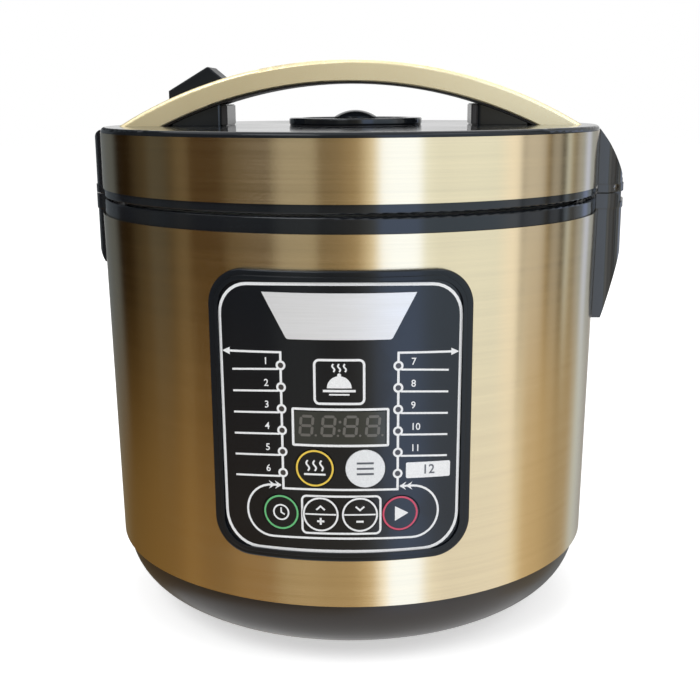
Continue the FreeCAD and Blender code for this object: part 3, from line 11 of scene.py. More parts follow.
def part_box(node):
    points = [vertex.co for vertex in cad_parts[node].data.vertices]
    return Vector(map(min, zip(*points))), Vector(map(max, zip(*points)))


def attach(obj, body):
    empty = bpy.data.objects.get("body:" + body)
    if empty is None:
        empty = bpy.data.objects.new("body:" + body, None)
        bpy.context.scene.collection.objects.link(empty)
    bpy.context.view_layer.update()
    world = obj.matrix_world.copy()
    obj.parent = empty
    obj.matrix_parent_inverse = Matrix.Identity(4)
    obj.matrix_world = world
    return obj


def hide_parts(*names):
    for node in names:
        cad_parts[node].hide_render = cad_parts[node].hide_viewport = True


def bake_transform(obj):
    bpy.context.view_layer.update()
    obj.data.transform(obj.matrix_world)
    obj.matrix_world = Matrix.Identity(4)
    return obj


bl_info = {
    "name": "Multicooker Looks",
    "version": (1, 0, 0),
    "blender": (4, 5, 0),
    "location": "View3D > Sidebar > Cooker",
    "description": "Finishes, panel print and studio for a round multicooker",
    "category": "Object",
}

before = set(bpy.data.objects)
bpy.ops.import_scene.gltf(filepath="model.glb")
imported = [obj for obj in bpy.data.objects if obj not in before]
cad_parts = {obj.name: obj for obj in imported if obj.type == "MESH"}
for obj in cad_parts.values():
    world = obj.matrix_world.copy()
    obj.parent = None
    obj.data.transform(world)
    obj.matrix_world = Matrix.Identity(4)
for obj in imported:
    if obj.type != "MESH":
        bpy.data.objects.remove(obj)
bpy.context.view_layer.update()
MM = 0.001
QUARTER_TURN = math.radians(90)
WHITE = (1, 1, 1, 1)
BAND_LOW, BAND_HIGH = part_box("lid_band")
AXIS_X = (BAND_LOW.x + BAND_HIGH.x) / 2
SLEEVE_LOW, SLEEVE_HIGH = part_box("body_shell")
SLEEVE_TOP_RADIUS = (SLEEVE_HIGH.x - SLEEVE_LOW.x) / 2
SLEEVE_TAPER = 2.7 / 177.0  # growth of the radius over the height
FACE_INSET = 0.0005  # panel face at the sleeve's foot, inside the sleeve's top radius

# Print, in millimetres: in front of the face, behind it, and the longest straight run round the bend
PRINT_FRONT, PRINT_BACK, PRINT_STEP = 0.06, 0.10, 2.2
TYPE_SIZE, TYPE_WEIGHT = 1.37, 0.012  # type size and extra weight for each unit of a number's height
BOLD, THIN = 1.1, 0.9  # widths as shares of the fine line

# Sockets of a Mix node that mixes colours
MIX_FACTOR, MIX_FIRST, MIX_SECOND, MIX_RESULT = 0, 6, 7, 2
FINE_RELIEF = 0.0001  # depth of grain and brush lines
WAVE_SPACING = 0.314  # metres between the rings of a wave texture at a scale of 1

# Studio: the reflector ring's sides and levels, the lamps' aim, and the image that the camera is shifted in
RING_SIDES, RING_LOW, RING_HIGH = 120, -1.3, 1.5
LAMP_AIM = Vector((AXIS_X, 0, 0.13))
LAMPS = [("key_lamp", (-0.9, -1.3, 1.7), 1.2, 16.0), ("fill_lamp", (1.3, -0.9, 1.3), 1.2, 9.0),
         ("back_lamp", (0.2, 1.5, 1.6), 1.4, 9.0)]  # place, width and watts
SHIFT_PIXELS, IMAGE_PIXELS = -1.13, 700

# Boards of the reflector ring: bearing in degrees, brightness and tint
BROWN, SAND, PALE = (1.0, 0.62, 0.28), (1.0, 0.80, 0.50), (1.0, 0.94, 0.77)
AMBER, HONEY = (1.0, 0.62, 0.22), (1.0, 0.75, 0.40)
PLAIN, COOL = (1.0, 1.0, 1.0), (1.0, 1.12, 1.20)
ICE, STEEL = (0.93, 1.11, 1.5), (0.87, 1.0, 1.4)
LEFT_BOARDS = [
    (-180, 0.85, PLAIN), (-158, 0.80, PLAIN), (-152, 0.15, COOL), (-128, 0.11, COOL), (-121, 0.018, BROWN),
    (-111, 0.020, BROWN), (-103, 0.06, SAND), (-97, 0.08, SAND), (-92, 0.105, PALE), (-84, 0.09, PALE),
    (-80, 0.09, SAND), (-76, 0.14, SAND), (-71, 0.155, SAND), (-68, 0.070, BROWN), (-54, 0.066, BROWN),
    (-49, 0.125, SAND), (-44, 0.12, SAND), (-32, 0.095, SAND), (-26.5, 0.33, PALE), (-13, 0.38, PALE),
    (-10, 0.19, SAND), (-2, 0.26, SAND), (0, 0.31, SAND)]
RIGHT_BOARDS = [
    (0, 0.31, SAND), (5, 0.40, SAND), (12, 1.0, PALE), (15, 1.5, ICE), (30, 1.5, ICE), (33.5, 1.05, COOL),
    (40, 0.965, COOL), (66, 1.0, COOL), (74, 1.2, PLAIN), (77.9, 1.18, PLAIN), (80.3, 0.46, PLAIN),
    (83, 0.70, PLAIN), (90.5, 0.69, PLAIN), (93.5, 0.55, PLAIN), (95.8, 0.36, SAND), (97.5, 0.12, SAND),
    (99.3, 0.42, PLAIN), (104, 0.43, PLAIN), (107.2, 0.08, PALE), (108.8, 0.10, PALE), (111, 0.66, COOL),
    (112.5, 0.66, COOL), (115, 0.44, PALE), (118.5, 0.26, PALE), (122, 0.44, PLAIN), (128, 0.44, COOL),
    (131.5, 0.74, STEEL), (135, 0.74, STEEL), (139, 0.40, COOL), (150, 0.36, PLAIN), (160, 0.82, PLAIN)]
LOWER_BOARDS = [
    (-180, 0.50, SAND), (-150, 0.22, SAND), (-132, 0.19, AMBER), (-115, 0.23, AMBER), (-100, 0.26, AMBER),
    (-88, 0.28, AMBER), (-78, 0.35, AMBER), (-66, 0.29, AMBER), (-58, 0.30, AMBER), (-50, 0.36, AMBER),
    (-36, 0.36, AMBER), (-29, 0.45, HONEY), (-20, 0.49, HONEY), (3, 0.52, HONEY), (11, 0.72, SAND),
    (17, 1.3, PLAIN), (20, 1.5, ICE), (32, 1.5, ICE), (38, 1.1, PLAIN), (46, 0.965, PLAIN),
    (78, 1.05, PLAIN), (84, 1.06, PALE), (87, 0.76, SAND), (91, 0.73, SAND), (98, 0.69, SAND),
    (104, 0.64, SAND), (108, 0.56, SAND), (116, 0.49, SAND), (124, 0.50, SAND), (135, 0.66, COOL),
    (150, 0.40, PLAIN), (180, 0.50, PLAIN)]
# Levels between which the lower boards give way to the upper ones, and the share of a turn where the first
# pair gives way to the second
WIDE_LEVELS, NEAR_LEVELS, LEVELS_TURN = (-0.48, -0.10), (-0.22, -0.08), (0.72, 0.76)


def colour(name, value, words):
    """Colour property with a plain description."""
    return FloatVectorProperty(name=name, description=words, default=value, subtype="COLOR",
                               size=4, min=0.0, max=1.0)


def length(name, value, words):
    """Length property in metres."""
    return FloatProperty(name=name, description=words, default=value, unit="LENGTH",
                         subtype="DISTANCE", precision=5)


def share(name, value, words):
    """Plain number property."""
    return FloatProperty(name=name, description=words, default=value, subtype="FACTOR", min=0.0, max=4.0)


def turn(name, value, words):
    """Angle property, given in degrees."""
    return FloatProperty(name=name, description=words, default=math.radians(value), unit="ROTATION",
                         subtype="ANGLE")


class CookerColours(bpy.types.PropertyGroup):
    """Colours of the cooker's finishes."""

    gold_light: colour("Gold steel", (0.75, 0.625, 0.415, 1), "Raised brush lines of the gold steel")
    gold_deep: colour("Gold steel, deep", (0.69, 0.575, 0.385, 1), "Deep brush lines of the gold steel")
    handle_gold: colour("Handle gold", (0.94, 0.78, 0.45, 1), "Satin champagne gold of the handle")
    handle_spark: colour("Handle spark", (0.99, 0.91, 0.63, 1), "Fine metal flake in the handle's gold")
    gloss_black: colour("Gloss black", (0.009, 0.011, 0.014, 1), "Glossy mouldings of lid, rim and lugs")
    satin_black: colour("Satin black", (0.020, 0.015, 0.012, 1), "Satin mouldings such as the base")
    film_black: colour("Panel black", (0.005, 0.007, 0.011, 1), "Face of the control panel")
    plate_silver: colour("Badge silver", (0.76, 0.77, 0.79, 1), "Bare plate above the programme lights")
    lens_smoke: colour("Lens", (0.033, 0.036, 0.033, 1), "Smoked lens over the clock")
    digit_grey: colour("Unlit digits", (0.13, 0.125, 0.115, 1), "Unlit segments of the clock")
    print_white: colour("White print", (0.86, 0.87, 0.88, 1), "Lines and numbers on the panel")
    print_dark: colour("Dark print", (0.10, 0.11, 0.13, 1), "Signs on white ground")
    ring_yellow: colour("Yellow ring", (0.86, 0.60, 0.07, 1), "Ring of the warm key")
    ring_green: colour("Green ring", (0.13, 0.52, 0.20, 1), "Ring of the timer key")
    ring_red: colour("Red ring", (0.62, 0.06, 0.12, 1), "Ring of the start key")
    key_white: colour("White key", (0.80, 0.82, 0.84, 1), "Cap of the menu key")
    pot_coat: colour("Pot coating", (0.050, 0.050, 0.053, 1), "Non-stick coating of the pot")
    board_green: colour("Board", (0.020, 0.105, 0.045, 1), "Lacquer of the circuit boards")


class PanelSizes(bpy.types.PropertyGroup):
    """Sizes of the bent panel and its print."""

    foot_level: length("Sleeve foot", SLEEVE_LOW.z, "Level of the sleeve's lower edge")
    foot_radius: length("Face radius at the foot", SLEEVE_TOP_RADIUS - FACE_INSET,
                        "Radius of the panel face at the sleeve's lower edge")
    rise: FloatProperty(name="Taper", description="Growth of the radius for each metre of height",
                        default=SLEEVE_TAPER)
    bend: length("Print radius", 0.135, "Radius on which the print's widths are measured")
    sag: FloatProperty(name="Sag", default=0.47,
                       description="Fall of the print towards its ends, for each metre squared")
    word_sag: FloatProperty(name="Word sag", default=0.89,
                            description="The same for the numbers and their underlines")
    foot_sag: FloatProperty(name="Foot sag", default=0.12,
                            description="The same for the lower half of the border")
    border: length("Border line", 0.0014, "Width of the line round the panel")
    line: length("Fine line", 0.0010, "Width of the fine lines")
    key_lift: length("Key lift", 0.00035, "Height of the keys above the panel face")
    digit_pitch: length("Digit pitch", 0.01016, "Distance between the clock's digits")
    digit_height: length("Digit height", 0.0102, "Height of the clock's digits")
    light_pitch: length("Light pitch", 0.0102, "Distance between the programme lights")
    light_rows: IntProperty(name="Light rows", description="Programme lights in each column", default=6)


class StudioSizes(bpy.types.PropertyGroup):
    """Camera, lamps and floor."""

    distance: length("Camera distance", 0.6125, "Camera's distance from the body's axis")
    height: length("Camera height", 0.273, "Camera's height above the floor")
    bearing: turn("Camera bearing", 2.3, "Turn of the camera round the body")
    pitch: turn("Camera pitch", 12.87016, "Downward tilt of the camera")
    roll: turn("Camera roll", -0.28918, "Lean of the camera")
    lens: FloatProperty(name="Lens", description="Focal length", default=56.647, unit="CAMERA")
    floor: length("Floor", 12.0, "Width of the floor")
    ring: length("Reflector ring", 1.5, "Radius of the studio's reflector ring")
    sky: share("Sky light", 0.62, "Level of the even light")
    glow: share("Floor glow", 0.52, "Own light of the floor towards the camera")


def scene_of(name):
    """Property group of the scene."""
    return getattr(bpy.context.scene, name)


def shade(name):
    """Colour from the scene's property group."""
    return tuple(getattr(scene_of("cooker_colours"), name))


def toned(base, *factors):
    """Colour times one factor, or times a factor for each channel."""
    factors = factors if len(factors) == 3 else factors * 3
    return (*(value * factor for value, factor in zip(base, factors)), 1)


def link(name, data):
    """New object in the scene."""
    made = bpy.data.objects.new(name, data)
    bpy.context.scene.collection.objects.link(made)
    return made


# Node tree helpers


def spaced(values):
    """Keywords as socket names, with spaces for underscores."""
    return {key.replace("_", " "): value for key, value in values.items()}


def fill(node, inputs):
    """Sets or links a node's inputs."""
    for key, value in inputs.items():
        if isinstance(value, bpy.types.NodeSocket):
            node.id_data.links.new(value, node.inputs[key])
        else:
            node.inputs[key].default_value = value


def put(tree, kind, inputs=None, **settings):
    """New node with its settings, values and links."""
    node = tree.nodes.new(kind)
    for key, value in settings.items():
        setattr(node, key, value)
    fill(node, inputs or {})
    return node


def bare_tree(owner):
    """Emptied node tree of a material or a world."""
    owner.use_nodes = True
    owner.node_tree.nodes.clear()
    return owner.node_tree


def blend(tree, factor, first, second):
    """Colour between two colours."""
    return put(tree, "ShaderNodeMix", {MIX_FACTOR: factor, MIX_FIRST: first, MIX_SECOND: second},
               data_type="RGBA").outputs[MIX_RESULT]


def sum_of(tree, operation, *values):
    """Result of one sum."""
    return put(tree, "ShaderNodeMath", dict(enumerate(values)), operation=operation).outputs[0]


def spread(tree, value, low, high, start=0.0, end=1.0):
    """Value moved from one range into another."""
    return put(tree, "ShaderNodeMapRange", {"Value": value, "From Min": start, "From Max": end,
                                            "To Min": low, "To Max": high}).outputs["Result"]


def place_of(tree):
    """Object coordinates."""
    return put(tree, "ShaderNodeTexCoord").outputs["Object"]


def noise(tree, place, scale, detail):
    """Soft noise."""
    return put(tree, "ShaderNodeTexNoise", {"Vector": place, "Scale": scale, "Detail": detail}).outputs[0]


def bump(tree, height, strength, depth=FINE_RELIEF):
    """Normal from a height."""
    return put(tree, "ShaderNodeBump", {"Height": height, "Strength": strength,
                                        "Distance": depth}).outputs["Normal"]


def shader_group(name, inputs, outputs):
    """Empty shader group with named sockets."""
    tree = bpy.data.node_groups.new(name, "ShaderNodeTree")
    for label, kind, value in inputs:
        made = tree.interface.new_socket(label, in_out="INPUT", socket_type=kind)
        made.default_value = value
    for label in outputs:
        tree.interface.new_socket(label, in_out="OUTPUT", socket_type="NodeSocketFloat")
    return tree, tree.nodes.new("NodeGroupInput").outputs, tree.nodes.new("NodeGroupOutput")


def brush_group():
    """Brush lines, stretched by a scale for each direction."""
    tree, given, out = shader_group("Brush Lines", [("Scale", "NodeSocketVector", (6, 6, 1800))],
                                    ["Lines", "Bands"])
    fine = put(tree, "ShaderNodeVectorMath", {0: place_of(tree), 1: given["Scale"]},
               operation="MULTIPLY").outputs[0]
    wide = put(tree, "ShaderNodeVectorMath", {0: fine, 1: (0.5, 0.5, 0.12)}, operation="MULTIPLY").outputs[0]
    lines, bands = noise(tree, fine, scale=1.0, detail=3.0), noise(tree, wide, scale=1.0, detail=2.0)
    fill(out, {"Lines": spread(tree, lines, 0.0, 1.0, start=0.3, end=0.7),
               "Bands": spread(tree, bands, 0.0, 1.0, start=0.3, end=0.7)})
    return tree


def wear_group():
    """Soft smudges and fine dust."""
    tree, given, out = shader_group("Smudge and Dust", [("Smudge Scale", "NodeSocketFloat", 14.0),
                                                        ("Dust Scale", "NodeSocketFloat", 900.0)],
                                    ["Smudge", "Dust"])
    place = place_of(tree)
    smudge = noise(tree, place, given["Smudge Scale"], detail=4.0)
    dust = noise(tree, place, given["Dust Scale"], detail=1.0)
    fill(out, {"Smudge": spread(tree, smudge, 0.0, 1.0, start=0.3, end=0.7),
               "Dust": spread(tree, dust, 0.0, 1.0, start=0.66, end=0.8)})
    return tree


def grain_group():
    """Fine moulded grain."""
    tree, given, out = shader_group("Moulded Grain", [("Grain Scale", "NodeSocketFloat", 1600.0)], ["Height"])
    fill(out, {"Height": noise(tree, place_of(tree), given["Grain Scale"], detail=2.0)})
    return tree


GROUP_MAKERS = {"Brush Lines": brush_group, "Smudge and Dust": wear_group, "Moulded Grain": grain_group}


def group(tree, name, **values):
    """One of the shared effects, placed in a material."""
    made = bpy.data.node_groups.get(name) or GROUP_MAKERS[name]()
    return put(tree, "ShaderNodeGroup", spaced(values), node_tree=made).outputs


def finish(name, **sockets):
    """Material with plain values on its shader."""
    material = bpy.data.materials.new(name)
    material.use_nodes = True
    shader = material.node_tree.nodes["Principled BSDF"]
    feed(shader, **sockets)
    return material, material.node_tree, shader


def feed(shader, **sockets):
    """Sets or links a shader's sockets by keyword."""
    fill(shader, spaced(sockets))


# Finishes


def steel_finish(name, light, deep, scale, roughness, anisotropy, rotation):
    """Brushed metal whose highlights smear across the brush lines."""
    material, tree, shader = finish(name, Metallic=1.0, Anisotropic=anisotropy, Anisotropic_Rotation=rotation)
    brush = group(tree, "Brush Lines", Scale=scale)
    bands = sum_of(tree, "MULTIPLY", brush["Bands"], 0.5)
    both = sum_of(tree, "MULTIPLY_ADD", brush["Lines"], 0.5, bands)
    swing = 0.03
    feed(shader, Base_Color=blend(tree, both, deep, light),
         Roughness=spread(tree, both, roughness - swing, roughness + swing),
         Normal=bump(tree, brush["Lines"], strength=0.025))
    return material


def gloss_finish(name, base, smooth, rough, edge=0.0005, shine=0.5, tint=(0.90, 0.95, 1.0, 1)):
    """Glossy moulding with smudges, a little dust and softened edges."""
    material, tree, shader = finish(name, Roughness=smooth, Specular_IOR_Level=shine, Specular_Tint=tint)
    wear = group(tree, "Smudge and Dust", Smudge_Scale=16.0, Dust_Scale=1400.0)
    dust_share, dust_gain, dust_lift = 0.35, 1.6, 0.006
    dusty = (*(value * dust_gain + dust_lift for value in base[:3]), 1)
    feed(shader, Base_Color=blend(tree, sum_of(tree, "MULTIPLY", wear["Dust"], dust_share), base, dusty),
         Roughness=spread(tree, wear["Smudge"], smooth, rough))
    if edge:
        feed(shader, Normal=put(tree, "ShaderNodeBevel", {"Radius": edge}, samples=4).outputs["Normal"])
    return material


def satin_finish(name, base, roughness, grain_scale=1500.0, relief=0.25):
    """Satin moulding with fine grain."""
    material, tree, shader = finish(name, Roughness=roughness)
    wear = group(tree, "Smudge and Dust", Smudge_Scale=22.0, Dust_Scale=700.0)
    grain = group(tree, "Moulded Grain", Grain_Scale=grain_scale)
    swing = 0.05
    feed(shader, Base_Color=blend(tree, wear["Smudge"], base, toned(base, 1.25)),
         Roughness=spread(tree, wear["Smudge"], roughness - swing, roughness + swing),
         Normal=bump(tree, grain["Height"], relief))
    return material


def paint_finish(name, base, spark, metallic, roughness):
    """Satin metal paint with fine flake."""
    material, tree, shader = finish(name, Metallic=metallic, Roughness=roughness)
    grain = group(tree, "Moulded Grain", Grain_Scale=2600.0)
    wear = group(tree, "Smudge and Dust", Smudge_Scale=18.0, Dust_Scale=900.0)
    flake = spread(tree, grain["Height"], 0.0, 1.0, start=0.4, end=0.62)
    feed(shader, Base_Color=blend(tree, flake, base, spark),
         Roughness=spread(tree, wear["Smudge"], roughness - 0.04, roughness + 0.06),
         Normal=bump(tree, grain["Height"], strength=0.05))
    return material


def ink_finish(name, base, roughness=0.35):
    """Printed ink with a slight grain."""
    material, tree, shader = finish(name, Roughness=roughness)
    grain = group(tree, "Moulded Grain", Grain_Scale=2400.0)
    cover = spread(tree, grain["Height"], 0.0, 1.0, start=0.35, end=0.65)
    feed(shader, Base_Color=blend(tree, cover, toned(base, 0.86), base))
    return material


def metal_finish(name, base, roughness, scale, metallic=1.0, depth=0.82):
    """Plain metal with tool marks."""
    material, tree, shader = finish(name, Metallic=metallic, Roughness=roughness)
    brush = group(tree, "Brush Lines", Scale=scale)
    swing = 0.06
    feed(shader, Base_Color=blend(tree, brush["Lines"], toned(base, depth), base),
         Roughness=spread(tree, brush["Bands"], roughness - swing, roughness + swing))
    return material


def turned_finish(name, base, roughness, pitch):
    """Metal face with turned rings round the body's axis."""
    material, tree, shader = finish(name, Metallic=1.0, Roughness=roughness)
    centred = put(tree, "ShaderNodeMapping", {"Vector": place_of(tree), "Location": (-AXIS_X, 0, 0),
                                              "Scale": (1, 1, 0)})
    rings = put(tree, "ShaderNodeTexWave", {"Vector": centred.outputs[0], "Scale": WAVE_SPACING / pitch,
                                            "Distortion": 0.4, "Detail": 1.0},
                wave_type="RINGS", rings_direction="SPHERICAL").outputs["Fac"]
    feed(shader, Base_Color=blend(tree, rings, toned(base, 0.8), base),
         Normal=bump(tree, rings, strength=0.25, depth=2 * FINE_RELIEF))
    return material


def spangle_finish(name, base):
    """Galvanised sheet with crystal spangle."""
    material, tree, shader = finish(name, Metallic=1.0, Roughness=0.4)
    cells = put(tree, "ShaderNodeTexVoronoi", {"Vector": place_of(tree), "Scale": 95.0})
    tone = put(tree, "ShaderNodeSeparateColor", {0: cells.outputs["Color"]}).outputs[0]
    feed(shader, Base_Color=blend(tree, tone, toned(base, 0.72, 0.74, 0.78), base),
         Roughness=spread(tree, tone, 0.28, 0.5))
    return material


def coating_finish(name, base):
    """Dark non-stick coating with pale specks."""
    material, tree, shader = finish(name, Roughness=0.36)
    specks = put(tree, "ShaderNodeTexVoronoi", {"Vector": place_of(tree), "Scale": 420.0})
    mask = spread(tree, specks.outputs["Distance"], 1.0, 0.0, start=0.10, end=0.20)
    wear = group(tree, "Smudge and Dust", Smudge_Scale=20.0, Dust_Scale=800.0)
    kept = sum_of(tree, "MULTIPLY", mask, spread(tree, wear["Smudge"], 0.15, 0.8))
    speck_grey = (0.32, 0.32, 0.33, 1)
    feed(shader, Base_Color=blend(tree, kept, base, speck_grey),
         Roughness=spread(tree, wear["Smudge"], 0.30, 0.44))
    return material


def board_finish(name, base):
    """Circuit board lacquer with paler copper runs under it."""
    material, tree, shader = finish(name, Roughness=0.4)
    upright = put(tree, "ShaderNodeMapping", {"Vector": place_of(tree), "Rotation": (QUARTER_TURN, 0, 0)})
    runs = put(tree, "ShaderNodeTexBrick", {"Vector": upright.outputs[0], "Scale": 90.0, "Mortar Size": 0.03,
                                            "Color1": base, "Color2": base,
                                            "Mortar": toned(base, 2.2, 1.9, 1.9)})
    feed(shader, Base_Color=runs.outputs["Color"])
    return material


def dress(material, *nodes):
    """Gives CAD nodes a finish."""
    for name in nodes:
        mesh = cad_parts[name].data
        mesh.materials.clear()
        mesh.materials.append(material)


# Flat print, drawn in millimetres: x along the panel, z up and y into the panel


def arc(x, z, radius, start, end, count):
    """Points of an arc, angles in degrees."""
    angles = [math.radians(start + (end - start) * i / count) for i in range(count + 1)]
    return [(x + radius * math.cos(angle), z + radius * math.sin(angle)) for angle in angles]


def circle(x, z, radius, count):
    """Closed circle."""
    return arc(x, z, radius, 0, 360 - 360 / count, count - 1)


def rounded_box(half, low, high, bend, x=0.0):
    """Closed box with rounded corners."""
    right, left, foot, top = x + half - bend, x - half + bend, low + bend, high - bend
    corners = ((right, foot, -90), (right, top, 0), (left, top, 90), (left, foot, 180))
    return [point for across, up, start in corners for point in arc(across, up, bend, start, start + 90, 8)]


def wave(x, low, height, swing):
    """Upright wave of one turn."""
    return [(x + swing * math.sin(i / 8 * 2 * math.pi), low + height * i / 8) for i in range(9)]


def divided(points, widths, closed):
    """Points of a line, no further apart than the panel's bend allows."""
    ends = list(zip(points, widths))
    if closed:
        ends.append(ends[0])
    made = []
    for (first, wide), (second, narrow) in zip(ends, ends[1:]):
        steps = max(1, math.ceil(math.dist(first, second) / PRINT_STEP))
        for i in range(steps):
            t = i / steps
            made.append(((first[0] + (second[0] - first[0]) * t, first[1] + (second[1] - first[1]) * t),
                         wide + (narrow - wide) * t))
    if not closed:
        made.append(ends[-1])
    return made


class Drawing:
    """Thin closed solids of one ink."""

    def __init__(self):
        self.solid = bmesh.new()

    def ring_of(self, x, z, side_x, side_z):
        """Four corners of a line's cross-section."""
        new = self.solid.verts.new
        return [new((x + side_x, -PRINT_FRONT, z + side_z)), new((x - side_x, -PRINT_FRONT, z - side_z)),
                new((x - side_x, PRINT_BACK, z - side_z)), new((x + side_x, PRINT_BACK, z + side_z))]

    def line(self, points, width, closed=False):
        """Line of one width, or of one width for each point."""
        widths = width if isinstance(width, list) else [width] * len(points)
        points = divided(points, widths, closed)
        rings = []
        for i, ((x, z), wide) in enumerate(points):
            before = points[i - 1][0] if i or closed else (x, z)
            after = points[(i + 1) % len(points)][0] if i + 1 < len(points) or closed else (x, z)
            first = Vector((x - before[0], z - before[1]))
            second = Vector((after[0] - x, after[1] - z))
            first = first.normalized() if first.length > 1e-9 else second.normalized()
            second = second.normalized() if second.length > 1e-9 else first
            along = (first + second).normalized()
            reach = wide / 2 / max(0.5, along.dot(second))
            rings.append(self.ring_of(x, z, -along.y * reach, along.x * reach))
        pairs = list(zip(rings, rings[1:])) + ([(rings[-1], rings[0])] if closed else [])
        for low, high in pairs:
            for i in range(4):
                self.solid.faces.new((low[i], low[(i + 1) % 4], high[(i + 1) % 4], high[i]))
        if not closed:
            self.solid.faces.new(rings[0])
            self.solid.faces.new(reversed(rings[-1]))

    def plate(self, outline):
        """Filled outline, cut into strips that follow the panel's bend."""
        new = self.solid.verts.new
        front = [new((x, -PRINT_FRONT, z)) for x, z in outline]
        back = [new((x, PRINT_BACK, z)) for x, z in outline]
        faces = [self.solid.faces.new(front), self.solid.faces.new(list(reversed(back)))]
        sides = []
        for i in range(len(front)):
            j = (i + 1) % len(front)
            sides.append(self.solid.faces.new((front[i], back[i], back[j], front[j])))
        faces = bmesh.ops.triangulate(self.solid, faces=faces)["faces"]
        low, high = min(x for x, z in outline), max(x for x, z in outline)
        parts = set(faces + sides)
        for i in range(1, math.ceil((high - low) / PRINT_STEP)):
            edges, corners = {e for f in parts for e in f.edges}, {v for f in parts for v in f.verts}
            cut = bmesh.ops.bisect_plane(self.solid, geom=[*parts, *edges, *corners], plane_no=(1, 0, 0),
                                         plane_co=(low + PRINT_STEP * i, 0, 0))
            parts = {g for g in cut["geom"] if isinstance(g, bmesh.types.BMFace)}

    def number(self, words, height, x, z, side="CENTER"):
        """Number set in the plain built-in type."""
        type_curve = bpy.data.curves.new("number", "FONT")
        type_curve.body = words
        type_curve.size = height * TYPE_SIZE
        type_curve.align_x = side
        type_curve.align_y = "CENTER"
        type_curve.extrude = (PRINT_FRONT + PRINT_BACK) / 2
        type_curve.offset = height * TYPE_WEIGHT
        type_curve.resolution_u = 3
        holder = link("number", type_curve)
        mesh = bpy.data.meshes.new_from_object(holder.evaluated_get(bpy.context.evaluated_depsgraph_get()))
        mesh.transform(Matrix.Translation((x, (PRINT_BACK - PRINT_FRONT) / 2, z))
                       @ Matrix.Rotation(QUARTER_TURN, 4, "X"))
        self.solid.from_mesh(mesh)
        bpy.data.objects.remove(holder)
        bpy.data.meshes.remove(mesh)
        bpy.data.curves.remove(type_curve)

    def mesh(self, name):
        """Finished flat mesh in metres."""
        bmesh.ops.remove_doubles(self.solid, verts=self.solid.verts, dist=1e-4)
        bmesh.ops.recalc_face_normals(self.solid, faces=self.solid.faces)
        bmesh.ops.scale(self.solid, vec=(MM, MM, MM), verts=self.solid.verts)
        mesh = bpy.data.meshes.new(name)
        self.solid.to_mesh(mesh)
        self.solid.free()
        return mesh


# Geometry node trees


def geometry_tree(name, inputs):
    """Empty geometry tree with named inputs."""
    tree = bpy.data.node_groups.new(name, "GeometryNodeTree")
    tree.is_modifier = True
    tree.interface.new_socket("Geometry", in_out="INPUT", socket_type="NodeSocketGeometry")
    tree.interface.new_socket("Geometry", in_out="OUTPUT", socket_type="NodeSocketGeometry")
    for label, kind in inputs:
        tree.interface.new_socket(label, in_out="INPUT", socket_type=kind)
    return tree, tree.nodes.new("NodeGroupInput").outputs, tree.nodes.new("NodeGroupOutput")


def wrap_tree():
    """Repeats a flat mark in rows and columns and bends it round the body."""
    number, whole = "NodeSocketFloat", "NodeSocketInt"
    tree, given, out = geometry_tree("Wrapped Marks", [
        ("Columns", whole), ("Column Pitch", number), ("Rows", whole), ("Row Pitch", number),
        ("Axis", number), ("Foot Radius", number), ("Rise", number), ("Foot Level", number),
        ("Bend Radius", number), ("Sag", number), ("Facing", number), ("Ink", "NodeSocketMaterial")])

    def sums(operation, *values):
        return sum_of(tree, operation, *values)

    wide = sums("MULTIPLY", sums("SUBTRACT", given["Columns"], 1.0), given["Column Pitch"])
    tall = sums("MULTIPLY", sums("SUBTRACT", given["Rows"], 1.0), given["Row Pitch"])
    grid = put(tree, "GeometryNodeMeshGrid", {"Size X": wide, "Size Y": tall, "Vertices X": given["Columns"],
                                              "Vertices Y": given["Rows"]})
    stand = put(tree, "GeometryNodeTransform", {"Geometry": grid.outputs[0],
                                                "Rotation": (QUARTER_TURN, 0, 0)})
    marks = put(tree, "GeometryNodeInstanceOnPoints", {"Points": stand.outputs[0],
                                                       "Instance": given["Geometry"]})
    real = put(tree, "GeometryNodeRealizeInstances", {"Geometry": marks.outputs[0]})
    flat = put(tree, "ShaderNodeSeparateXYZ", {0: put(tree, "GeometryNodeInputPosition").outputs[0]}).outputs
    angle = sums("DIVIDE", flat["X"], given["Bend Radius"])
    climb = sums("MULTIPLY", sums("SUBTRACT", flat["Z"], given["Foot Level"]), given["Rise"])
    face = sums("ADD", given["Foot Radius"], climb)
    reach = sums("ADD", face, sums("MULTIPLY", flat["Y"], given["Facing"]))
    across = sums("ADD", given["Axis"], sums("MULTIPLY", reach, sums("SINE", angle)))
    depth = sums("MULTIPLY", given["Facing"], sums("MULTIPLY", reach, sums("COSINE", angle)))
    fall = sums("MULTIPLY", sums("MULTIPLY", flat["X"], flat["X"]), given["Sag"])
    place = put(tree, "ShaderNodeCombineXYZ", {"X": across, "Y": depth,
                                               "Z": sums("SUBTRACT", flat["Z"], fall)})
    bent = put(tree, "GeometryNodeSetPosition", {"Geometry": real.outputs[0], "Position": place.outputs[0]})
    finish_tree(tree, out, bent, given["Ink"])
    return tree


def recess_tree():
    """Dark crosses of painted shade on screw heads that face down, standing in for their cross recesses."""
    number = "NodeSocketFloat"
    tree, given, out = geometry_tree("Cross Recesses", [("Arm Length", number), ("Arm Width", number),
                                                        ("Depth", number), ("Shade", "NodeSocketMaterial")])
    arms = put(tree, "GeometryNodeJoinGeometry")
    for long_side, short_side in (("Arm Length", "Arm Width"), ("Arm Width", "Arm Length")):
        size = put(tree, "ShaderNodeCombineXYZ", {"X": given[long_side], "Y": given[short_side],
                                                  "Z": given["Depth"]})
        fill(arms, {0: put(tree, "GeometryNodeMeshCube", {"Size": size.outputs[0]}).outputs[0]})
    marks = put(tree, "GeometryNodeInstanceOnPoints", {"Points": given["Geometry"],
                                                       "Instance": arms.outputs[0]})
    finish_tree(tree, out, marks, given["Shade"])
    return tree


